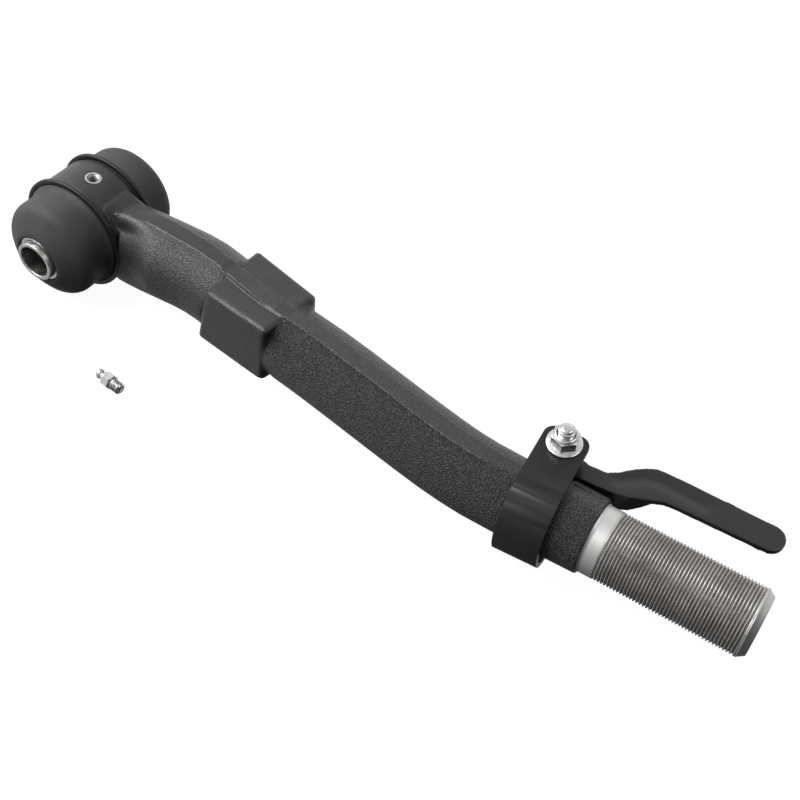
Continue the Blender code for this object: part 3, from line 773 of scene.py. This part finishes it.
def collar_line():
    """The trimmed flash line on the collar, ahead of the clamp."""
    stations = []
    for x in COLLAR_LINE_X:
        y, r = shank_at(x)
        stations.append((x, y + 1.0, 4.2, r + 0.6, r - 5.0, 0.3))
    return lofted_box("collar_line", stations, Matrix.Rotation(COLLAR_LINE_LEAN, 4, "X"))


def blast_at(points):
    """How grainy the paint is: smooth on the head, block and flash line, full grain along the shank."""
    x, y, z = points.T
    centre_y, radius = shank_at(x)
    off_block = in_block(points) > 0.6
    on_strip = (np.abs(z) > radius - 0.2) & (np.abs(y - centre_y) < 7.5) & (x < -60.0)
    blast = 0.1 + 0.2 * ease((x + 376.0) / 40.0) + 0.7 * ease((x + 300.0) / 60.0)
    blast = np.where(off_block, blast, 0.1)
    return np.where(on_strip & off_block, 0.25 * blast, blast)


def forged_bar():
    """The painted forging, merged out of its shank, block, neck and housing with soft fillets."""
    housing = rounded_profile(
        [
            (0.0, -SPIGOT_HALF),
            (SPIGOT_R, -SPIGOT_HALF),
            (SPIGOT_R, -HOUSING_HALF),
            (HOUSING_R, -HOUSING_HALF),
            (HOUSING_R, HOUSING_HALF),
            (SPIGOT_R, HOUSING_HALF),
            (SPIGOT_R, SPIGOT_HALF),
            (0.0, SPIGOT_HALF),
        ],
        (0.0, 0.5, 0.0, 1.0, 1.0, 0.0, 0.5, 0.0),
    )
    neck = [(HEAD[0] + ahead, HEAD[1], NECK_HALF, tall, -tall, 5.0) for ahead, tall in NECK]
    shank = shank_body()
    for side, place in (("near", NEAR_SIDE), ("far", FAR_SIDE)):
        room = plug(RING_ROOM_R, RING_ROOM_FROM, RING_ROOM_TO)
        cut(shank, turned(f"room_{side}", room, place, 160))
    shells = [
        shank,
        turned("housing", housing, FAR_SIDE, 160),
        lofted_box("neck", neck),
        wrench_block(),
        flash_strip(1.0),
        flash_strip(-1.0),
        collar_line(),
    ]
    bar = join(shells, "forging")
    remesh(bar, 0.7, 3)
    soften_junctions(bar)
    cut(bar, turned("bore", plug(BORE_R, -30.0, 30.0), FAR_SIDE, 128))
    spot = [(0.0, 20.0), (3.9, 20.0), (3.9, SPOT_FLOOR), (5.9, SPOT_FLOOR), (5.9, 46.0), (0.0, 46.0)]
    cut(bar, turned("spot", spot, grease_place(), 64))
    paint_attribute(bar, "blast", blast_at(points_of(bar)))
    bar.data.shade_smooth()
    return finish_piece(bar, PAINT, "root", "black_forging", "forged_bar")


def grease_place():
    """Where the grease hole leaves the head: along local Z, leaning towards the thread."""
    return (
        Matrix.Translation(HEAD)
        @ Matrix.Rotation(math.radians(GREASE_LEAN), 4, "Y")
        @ Matrix.Translation((0.0, GREASE_Y, 0.0))
    )


def grease_seat():
    """The bare spot face and tapped hole that the grease fitting screws into, with painted shade deeper in
    the hole.
    """
    seat = HOUSING_R - 0.5
    bottom = 31.0
    profile = [(3.3, bottom)]
    for ridge in range(8):
        low = seat - 8.0 + ridge
        profile += [(3.3, low + 0.1), (3.7, low + 0.5)]
    profile += [(3.3, seat - 1.0), (3.9, seat - 0.3), (4.3, seat), (5.5, seat)]
    profile += [(5.75, seat - 0.25), (5.75, seat - 0.4), (3.85, seat - 0.7), (3.85, bottom)]
    ring = turned("grease_seat", profile, grease_place(), 64)
    x, _, z = (points_of(ring) - HEAD).T
    # Painted shade: "root" rises deeper into the hole, darkening the steel there
    deep = ease((HOUSING_R - 0.8 - np.hypot(x, z)) / 3.0)
    paint_attribute(ring, "root", 0.05 + 0.95 * deep)
    return finish_piece(ring, STEEL, "root", "bare_steel", "forged_bar")


def helical(radius, pitch, start, end, hand, sides, step, rings):
    """A threaded cylinder's points about local Z, row by row, with the root attribute and the row count.

    rings are plain (radius, height) rows: those up to start come before the thread, the others after it.
    """
    turns = np.linspace(0.0, math.tau, sides, endpoint=False)
    depth = THREAD_DEPTH_SHARE * pitch
    points, root = [], []

    def add_row(radii, height, rooted):
        points.extend((r * math.cos(t), r * math.sin(t), height) for r, t in zip(radii, turns))
        root.extend(rooted)

    for r, h in rings:
        if h <= start:
            add_row([r] * sides, h, [0.0] * sides)
    for h in np.arange(start, end + step / 2, step):
        fade = min(1.0, (h - start) / pitch, (end - h) / pitch)
        phase = np.mod(h / pitch - hand * turns / math.tau, 1.0)
        wave = np.abs(phase - 0.5) * 2.0
        low = np.clip((wave - 0.14) / 0.74, 0.0, 1.0) * max(fade, 0.0)
        # root grows with the depth into the thread, and the materials darken it there as painted shade
        add_row(radius - depth * low, h, 0.06 + 0.94 * low)
    for r, h in rings:
        if h > start:
            add_row([r] * sides, h, [0.0] * sides)
    return points, root, len(points) // sides


def threaded_object(name, place, points, root, rows):
    """Closes a threaded surface with end faces and stores its root attribute."""
    mesh = bpy.data.meshes.new(name)
    mesh.from_pydata(points, [], tube_faces(rows, len(points) // rows))
    obj = add_mesh(name, mesh, place)
    paint_attribute(obj, "root", root)
    bm = bmesh.new()
    bm.from_mesh(mesh)
    bmesh.ops.recalc_face_normals(bm, faces=bm.faces[:])
    bm.to_mesh(mesh)
    bm.free()
    shade(obj, 40.0)
    return obj


def threaded_end():
    """The bare end: a turned band, the left-hand thread and the chamfered tip."""
    band = [
        (19.0, COLLAR_END - 6.0),
        (20.6, COLLAR_END - 0.4),
        (21.3, COLLAR_END - 0.1),
        (21.6, COLLAR_END + 0.05),
        (21.25, COLLAR_END + 0.8),
        (21.0, COLLAR_END + 1.2),
        (THREAD_R, COLLAR_END + 2.4),
        (THREAD_R, THREAD_FROM - 0.6),
    ]
    tip = [
        (THREAD_R - 0.5, THREAD_TO + 0.5),
        (TIP_R + 0.9, TIP_X - 1.0),
        (TIP_R + 0.4, TIP_X - 0.25),
        (TIP_R - 0.1, TIP_X),
        (TIP_R - 1.2, TIP_X),
        (9.0, TIP_X - 0.05),
        (1.0, TIP_X - 0.05),
    ]
    thread = helical(
        THREAD_R, THREAD_PITCH, THREAD_FROM, THREAD_TO, LEFT_HAND, 128, THREAD_PITCH / 8, band + tip
    )
    obj = threaded_object("threaded_end", ALONG_X, *thread)
    return finish_piece(obj, STEEL, "root", "bare_steel", "forged_bar")


# ---- Joint head ----

BOOT_OUTSIDE = [
    (37.4, 16.0),
    (37.45, 18.0),
    (37.4, 19.9),
    (36.9, 20.8),
    (36.0, 21.9),
    (35.4, 23.4),
    (35.1, 25.2),
    (35.0, 27.2),
    (35.0, 29.0),
    (35.0, 31.0),
    (35.05, 33.0),
    (35.1, 35.2),
    (35.05, 37.2),
    (34.75, 39.2),
    (34.1, 41.0),
    (33.2, 42.6),
    (32.0, 44.1),
    (30.4, 45.5),
    (28.5, 46.8),
    (26.5, 48.2),
    (24.5, 49.5),
    (22.5, 50.8),
    (20.8, 51.9),
    (19.3, 52.7),
    (18.0, 53.2),
    (17.1, 53.3),
    (16.5, 52.9),
]
BOOT_SPLIT = 30.0
BOOT_BASE_BENDS = (18.0, BOOT_SPLIT)
BOOT_DOME_BENDS = (BOOT_SPLIT, 46.0)
BOOT_INSIDE = [
    (16.5, 48.5),
    (20.0, 47.6),
    (24.4, 45.3),
    (28.0, 43.0),
    (30.2, 41.0),
    (31.9, 38.4),
    (32.6, 35.0),
    (32.5, 30.0),
    (32.5, 27.0),
    (32.9, 23.0),
    (33.8, 20.4),
    (33.8, 16.0),
]


def boot(end, place):
    """A boot in two turned halves that meet on its straight wall.
    """
    outside = smooth_profile(BOOT_OUTSIDE, 2)
    low_out = [p for p in outside if p[1] <= BOOT_SPLIT]
    high_out = [p for p in outside if p[1] >= BOOT_SPLIT]
    low_in = [p for p in BOOT_INSIDE if p[1] <= BOOT_SPLIT]
    high_in = [p for p in BOOT_INSIDE if p[1] >= BOOT_SPLIT]
    for part, profile, bodies, reach in (
        ("base", low_out + low_in, ("root", "liner"), BOOT_BASE_BENDS),
        ("dome", high_out + high_in, ("liner", "boot_lips"), BOOT_DOME_BENDS),
    ):
        piece = turned(f"boot_{end}_{part}", profile, place, 160)
        shade(piece, 60.0)
        piece.data.materials.append(RUBBER)
        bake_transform(piece)
        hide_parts(f"boot_{end}")


def ring_band(end, place):
    """The pressed band that clamps a boot's base onto the housing."""
    corners = [(37.7, 16.4), (41.0, 16.4), (41.0, 19.5), (37.7, 19.5)]
    ring = turned(f"base_band_{end}", rounded_profile(corners, [1.0] * 4), place, 160)
    return finish_piece(ring, RING_COAT, "root", "black_coated_steel", f"boot_clamp_ring_{end}")


def sleeve():
    """The through-sleeve, bright outside and at its ends, with painted shade in its bore."""
    low, high = -SLEEVE_HALF, SLEEVE_HALF
    corners = [(SLEEVE_BORE_R, low), (SLEEVE_R, low), (SLEEVE_R, high), (SLEEVE_BORE_R, high)]
    tube = turned("sleeve_tube", rounded_profile(corners, (0.9, 0.45, 0.45, 0.9), 5), FAR_SIDE, 128)
    x, y, z = (points_of(tube) - HEAD).T
    in_bore = ease((SLEEVE_BORE_R + 0.8 - np.hypot(x, z)) / 0.4)
    inside = in_bore * ease((SLEEVE_HALF - 0.4 - np.abs(y)) / 1.5)
    paint_attribute(tube, "bore", inside)
    return finish_piece(tube, SLEEVE_STEEL, "sleeve", "zinc_plated_steel", "inner_sleeve")


# ---- Strap clamp, stud, nut and finger ----


def strap():
    """The strap, bent from one strip, with rounded ear corners and a painted highlight along its edges."""
    middle = STRAP_IN_R + STRAP_T / 2
    lower = LOWER_EAR_TOP - STRAP_T / 2
    path = [(EAR_END + 3.0, middle), (24.0, middle), (8.0, middle)]
    path += arc(middle, 90.0, 371.0, 120)
    y = path[-1][0]
    path += [(y + 0.4, lower - 1.6), (y + 1.0, lower - 0.8), (y + 1.6, lower - 0.35), (y + 3.2, lower)]
    path += [(EAR_END + 3.0, lower)]
    points = [(-STRAP_W / 2, a, b) for a, b in path] + [(STRAP_W / 2, a, b) for a, b in path]
    count = len(path)
    faces = [(i, i + 1, count + i + 1, count + i) for i in range(count - 1)]
    mesh = bpy.data.meshes.new("strap")
    mesh.from_pydata(points, [], faces)
    band = add_mesh("strap", mesh, CLAMP)
    thick = band.modifiers.new("thickness", "SOLIDIFY")
    thick.thickness = STRAP_T * MM
    thick.offset = 0.0
    thick.use_even_offset = True
    apply_modifiers(band)
    outline = []
    for side, start in ((1, 0), (-1, 90)):
        centre = (side * (STRAP_W / 2 - EAR_ROUND), EAR_END - EAR_ROUND)
        outline += arc(EAR_ROUND, start, start + 90, 16, centre)
    outline += [(-STRAP_W / 2, -40.0), (STRAP_W / 2, -40.0)]
    cut(band, prism("ear_trim", outline, -45.0, 45.0, CLAMP), "INTERSECT")
    cut(band, turned("ear_hole", plug(STUD_HOLE_R, 5.0, 40.0), CLAMP @ STUD, 64))
    band.data.materials.clear()
    band.data.materials.append(SATIN)
    band.data.materials.append(EDGE_HIGHLIGHT)
    # The bevel faces take the second material, a painted highlight along the strap's edges.
    soft = band.modifiers.new("edges", "BEVEL")
    soft.width = 0.6 * MM
    soft.segments = 2
    soft.limit_method = "ANGLE"
    soft.angle_limit = math.radians(60)
    soft.material = 1
    apply_modifiers(band)
    for polygon in band.data.polygons:
        if polygon.material_index > 1:
            polygon.material_index = 1
    shade(band, 30.0)
    return finish_piece(band, None, "clamp", "black_coated_steel", "clamp_band")


def clamp_stud():
    """The threaded stud that stands in the strap's lower ear, with its rounded tip."""
    foot_z = LOWER_EAR_TOP - STRAP_T
    tip = [
        (STUD_R - 0.9, STUD_TOP - 1.5),
        (STUD_R - 1.3, STUD_TOP - 0.7),
        (STUD_R - 2.2, STUD_TOP - 0.15),
        (STUD_R - 3.2, STUD_TOP),
        (0.8, STUD_TOP),
    ]
    foot = [(STUD_R - 0.3, foot_z), (STUD_R, foot_z + 0.3), (STUD_R, STUD_THREAD_FROM - 0.5)]
    thread_to = STUD_TOP - 1.9
    thread = helical(
        STUD_R, STUD_PITCH, STUD_THREAD_FROM, thread_to, RIGHT_HAND, 64, STUD_PITCH / 8, foot + tip
    )
    obj = threaded_object("stud_bolt", CLAMP @ STUD, *thread)
    return finish_piece(obj, zinc_thread(), "clamp", "zinc_plated_steel", "clamp_stud")


def hexagon_body(name, across_flats, low, high, place, turn, chamfer):
    """A hexagon with its corners turned off at both ends."""
    corner_r = across_flats / math.sqrt(3.0)
    body = prism(name, arc(corner_r, turn, turn + 300.0, 5), low, high, place, 0.12)
    cone = [
        (0.0, low - 0.1),
        (across_flats / 2 - 0.1, low - 0.1),
        (corner_r + 0.3, low + chamfer),
        (corner_r + 0.3, high - chamfer),
        (across_flats / 2 - 0.1, high + 0.1),
        (0.0, high + 0.1),
    ]
    cut(body, turned("cone", cone, place, 96), "INTERSECT")
    return body


def flange_nut():
    """Hexagon on a coned flange, with a round locking collar on top."""
    place = CLAMP @ STUD
    nut = hexagon_body("nut", NUT_AF, NUT_LOW + 0.8, NUT_LOW + NUT_HEX_TO, place, NUT_TURN, 0.6)
    corners = [
        (0.0, NUT_LOW),
        (NUT_FLANGE_R, NUT_LOW),
        (NUT_FLANGE_R, NUT_LOW + 1.1),
        (7.4, NUT_LOW + 2.0),
        (NUT_COLLAR_R, NUT_LOW + 2.5),
        (NUT_COLLAR_R, NUT_TOP - 1.0),
        (NUT_COLLAR_R - 1.0, NUT_TOP),
        (0.0, NUT_TOP),
    ]
    flange = rounded_profile(corners, (0, 0.4, 0.5, 0.8, 0.3, 0.2, 0.5, 0))
    cut(nut, turned("flange", flange, place, 128), "UNION")
    bore = [(0.0, NUT_LOW - 5.0), (NUT_BORE_R, NUT_LOW - 5.0), (NUT_BORE_R, NUT_TOP - 0.6)]
    bore += [(5.9, NUT_TOP + 0.2), (5.9, NUT_TOP + 5.0), (0.0, NUT_TOP + 5.0)]
    cut(nut, turned("nut_bore", bore, place, 96))
    shade(nut, 28.0)
    nut.name = "lock_nut"
    return finish_piece(nut, ZINC, "nut", "zinc_plated_steel", "flange_nut")


# The finger in the clamp's plan, as (along the rod, across it)
FINGER_LOW = LOWER_EAR_TOP + 0.3
FINGER_T = 4.0
FINGER_EYE_R = 9.0
FINGER_HOLE_R = 5.4
FINGER_TIP = (123.8, 39.1)
FINGER_TIP_R = 8.8
FINGER_FAR = [
    (126.0, 47.8),
    (62.0, 51.0),
    (52.4, 51.0),
    (46.7, 48.6),
    (39.4, 43.6),
    (33.9, 38.4),
    (27.4, 34.2),
    (16.1, 34.0),
    (10.0, 36.0),
    (5.2, 37.6),
]
FINGER_NEAR = [
    (4.0, 22.2),
    (36.0, 22.7),
    (45.0, 24.4),
    (56.8, 28.8),
    (64.0, 31.4),
    (70.0, 31.8),
    (122.0, 30.4),
]
# The turned-down flange along the near edge: plan position and the height of its lower edge
FINGER_FLANGE = [
    (14.8, 22.6, 6.0),
    (25.0, 22.4, 4.4),
    (35.0, 22.9, 1.8),
    (41.0, 23.8, -0.4),
    (46.0, 25.1, 0.6),
    (52.5, 27.5, 5.5),
    (58.5, 30.0, 11.5),
]
FINGER_FLANGE_T = 3.6
DISH_LINE = [(36.0, 33.0), (47.0, 40.5), (56.0, 43.5), (66.0, 42.5), (84.0, 41.0)]
DISH_DEPTH = 0.9
DISH_WIDTH = 4.5


def finger():
    """The finger bracket: plate and turned-down flange merged, then dished along the strip."""
    outline = arc(FINGER_EYE_R, 118.0, 250.0, 24, STUD.translation[:2]) + FINGER_NEAR
    outline += arc(FINGER_TIP_R, -80.0, 80.0, 24, FINGER_TIP) + FINGER_FAR
    plate = prism("plate", outline, FINGER_LOW, FINGER_LOW + FINGER_T, CLAMP)
    high = FINGER_LOW + FINGER_T - 0.4
    points = []
    for u, v, low in FINGER_FLANGE:
        inner = v + FINGER_FLANGE_T
        points += [(u, v, low), (u, v, high), (u, inner, high), (u, inner, low + 0.4)]
    flange = new_object("flange", points, tube_faces(len(FINGER_FLANGE), 4), CLAMP)
    obj = join([plate, flange], "finger_arm")
    remesh(obj, 0.55, 4)
    shape_finger(obj)
    cut(obj, turned("finger_hole", plug(FINGER_HOLE_R, 5.0, 25.0), CLAMP @ STUD, 48))
    obj.data.shade_smooth()
    return finish_piece(obj, GLOSS, "finger", "black_coated_steel", "finger_bracket")


def distance_to_line(points, line):
    """Distance in plan from each point to a row of (u, v) points."""
    best = np.full(len(points), 1e9)
    for (ua, va), (ub, vb) in zip(line, line[1:]):
        along = np.array((ub - ua, vb - va))
        rel = points[:, :2] - np.array((ua, va))
        t = np.clip(rel @ along / (along @ along), 0.0, 1.0)
        best = np.minimum(best, np.hypot(*(rel - t[:, None] * along).T))
    return best


def shape_finger(obj):
    """Presses a shallow dish into the elbow and strip, leaving a rim along the far edge."""
    to_local = np.array(CLAMP.inverted())
    points = points_of(obj)
    local = points @ to_local[:3, :3].T + to_local[:3, 3]
    aside = distance_to_line(local, DISH_LINE)
    on_plate = ease((local[:, 2] - 9.0) / 4.0)
    local[:, 2] -= DISH_DEPTH * np.exp(-((aside / DISH_WIDTH) ** 2)) * on_plate
    from_local = np.array(CLAMP)
    set_points(obj, local @ from_local[:3, :3].T + from_local[:3, 3])


# ---- Grease fitting ----


def grease_fitting():
    """The loose fitting: ball nose, hexagon and threaded tail, drilled through for its check ball."""
    body = hexagon_body("fitting_hex", FITTING_AF, -3.0, 3.0, FITTING, 30.0, 0.7)
    nose = rounded_profile(
        [
            (0.0, -10.5),
            (2.3, -10.5),
            (3.25, -9.2),
            (3.3, -7.9),
            (2.35, -6.4),
            (2.35, -5.2),
            (3.9, -4.2),
            (3.9, 0.0),
            (0.0, 0.0),
        ],
        (0, 0.3, 0.5, 0.5, 0.5, 0.4, 0.4, 0, 0),
    )
    cut(body, turned("nose", nose, FITTING, 64), "UNION")
    ends = [(3.4, 1.0), (3.4, 4.2), (3.5, 4.5), (3.2, 11.2), (2.9, 11.5), (1.0, 11.5)]
    points, root, rows = helical(3.95, 1.0, 4.6, 10.6, RIGHT_HAND, 48, 0.125, ends)
    tail = threaded_object("tail", FITTING, points, np.zeros(len(root)), rows)
    cut(body, tail, "UNION")
    bore = [(0.0, -15.0), (0.9, -15.0), (0.9, -9.9), (FITTING_BORE_R, -8.9), (FITTING_BORE_R, 9.6)]
    bore += [(1.45, 10.2), (2.3, 12.0), (0.0, 12.0)]
    cut(body, turned("bore", bore, FITTING, 48))
    shade(body, 30.0)
    body.name = "grease_nipple"
    plate = zinc_plate("fitting_zinc", 2.0)
    return finish_piece(body, plate, "fitting", "zinc_plated_steel", "grease_fitting_body")


# ---- Stage, light and camera ----

FLOOR_HALF_M = 8.0
FLOOR_Z_M = -0.0004
FLOOR_GLOW = 0.96
# Each wall: the way it faces, the dots with that way between which it grows, and its least and most light
WALLS = (
    ((-0.85, -0.2, 0.5), -0.4, 0.85, 0.07, 1.2),
    ((0.2, 0.98, 0.0), 0.3, 0.9, 0.0, 1.1),
)
# Each lamp: name, place, aim, size and power, in metres and watts
LAMPS = (
    ("key", (-0.85, -0.2, 0.78), (-0.15, 0.0, 0.03), (0.9, 0.8), 13.0),
    ("streak", (-0.55, -0.5, 0.95), (-0.03, 0.0, 0.03), (0.4, 0.3), 10.0),
    ("rim", (0.75, 0.1, 0.75), (0.1, 0.0, 0.03), (0.5, 0.4), 2.5),
)
CAMERA_AZIMUTH = math.radians(27.89)
CAMERA_ELEVATION = math.radians(47.15)
CAMERA_ROLL = math.radians(6.35)
CAMERA_AT = (81.9, -421.1, 542.8)
CAMERA_LENS_MM = 54.0


def stage():
    """A plain pale floor that glows evenly and throws no light or reflection onto the rod."""
    floor_material = bpy.data.materials.new("floor")
    floor_material.use_nodes = True
    shader = floor_material.node_tree.nodes["Principled BSDF"]
    shader.inputs["Base Color"].default_value = (0.05, 0.05, 0.05, 1.0)
    shader.inputs["Roughness"].default_value = 0.9
    shader.inputs["Specular IOR Level"].default_value = 0.1
    shader.inputs["Emission Color"].default_value = (1.0, 1.0, 1.0, 1.0)
    shader.inputs["Emission Strength"].default_value = FLOOR_GLOW
    mesh = bpy.data.meshes.new("floor")
    sides = ((-1, -1), (1, -1), (1, 1), (-1, 1))
    corners = [(x * FLOOR_HALF_M, y * FLOOR_HALF_M, FLOOR_Z_M) for x, y in sides]
    mesh.from_pydata(corners, [], [(0, 1, 2, 3)])
    mesh.materials.append(floor_material)
    floor = link_mesh("floor", mesh)
    floor.visible_diffuse = False
    floor.visible_glossy = False


def area_light(name, at, aim, size, power):
    data = bpy.data.lights.new(name, "AREA")
    data.shape = "RECTANGLE"
    data.size, data.size_y = size
    data.energy = power
    light = bpy.data.objects.new(name, data)
    light.location = at
    light.rotation_euler = (Vector(aim) - Vector(at)).to_track_quat("-Z", "Y").to_euler()
    bpy.context.scene.collection.objects.link(light)


def studio_world():
    """A pale studio: bright above the head's end and behind the rod, dark towards the thread and below."""
    world = bpy.data.worlds.new("studio")
    world.use_nodes = True
    tree = world.node_tree
    background = tree.nodes["Background"]
    background.inputs["Color"].default_value = (1.0, 1.0, 1.0, 1.0)
    towards = tree.nodes.new("ShaderNodeTexCoord").outputs["Generated"]
    total = None
    for direction, low, high, least, most in WALLS:
        dot = tree.nodes.new("ShaderNodeVectorMath")
        dot.operation = "DOT_PRODUCT"
        dot.inputs[1].default_value = Vector(direction).normalized()
        tree.links.new(towards, dot.inputs[0])
        wall = map_range(tree, dot.outputs["Value"], low, high, least, most)
        if total is None:
            total = wall
            continue
        both = tree.nodes.new("ShaderNodeMath")
        both.operation = "ADD"
        tree.links.new(total, both.inputs[0])
        tree.links.new(wall, both.inputs[1])
        total = both.outputs["Value"]
    tree.links.new(total, background.inputs["Strength"])
    bpy.context.scene.world = world


def lights():
    studio_world()
    for lamp in LAMPS:
        area_light(*lamp)
    bpy.context.scene.view_settings.view_transform = "Standard"
    bpy.context.scene.view_settings.look = "None"


def camera():
    """The photograph's viewpoint: above the near side, turned towards the thread and rolled a little."""
    right = Vector((math.cos(CAMERA_AZIMUTH), math.sin(CAMERA_AZIMUTH), 0.0))
    level_back = Vector((math.sin(CAMERA_AZIMUTH), -math.cos(CAMERA_AZIMUTH), 0.0))
    back = level_back * math.cos(CAMERA_ELEVATION)
    back.z = math.sin(CAMERA_ELEVATION)
    up = back.cross(right)
    data = bpy.data.cameras.new("camera")
    data.lens = CAMERA_LENS_MM
    data.sensor_width = 36.0
    data.clip_start = 0.01
    made = bpy.data.objects.new("camera", data)
    turned_right = right * math.cos(CAMERA_ROLL) + up * math.sin(CAMERA_ROLL)
    turned_up = up * math.cos(CAMERA_ROLL) - right * math.sin(CAMERA_ROLL)
    pose = Matrix((turned_right, turned_up, back)).transposed().to_4x4()
    pose.translation = ORIGIN + Vector(CAMERA_AT) * MM
    made.matrix_world = pose
    bpy.context.scene.collection.objects.link(made)
    bpy.context.scene.camera = made


INNER_NODES = (
    "race_near",
    "race_far",
    "preload_spring",
    "snap_ring_near",
    "snap_ring_far",
    "ball",
    "boot_lip_ring_near",
    "boot_lip_ring_far",
    "grease_fitting_ball",
    "grease_fitting_spring",
)


def inner_pieces():
    """The carried-over CAD pieces inside the head and the fitting."""
    for node in INNER_NODES:
        give(node, INNER_STEEL)
    give("ball_liner", LINER)


def give(node, material):
    """Gives a carried-over CAD piece its material and shading, and leaves its shape."""
    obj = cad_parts[node]
    obj.data.materials.clear()
    obj.data.materials.append(material)
    shade(obj, 35.0)


forged_bar()
grease_seat()
threaded_end()
for end_name, side_place, direction in (("near", NEAR_SIDE, -1.0), ("far", FAR_SIDE, 1.0)):
    boot(end_name, side_place)
    ring_band(end_name, side_place)
sleeve()
strap()
clamp_stud()
flange_nut()
finger()
grease_fitting()
inner_pieces()
stage()
lights()
camera()
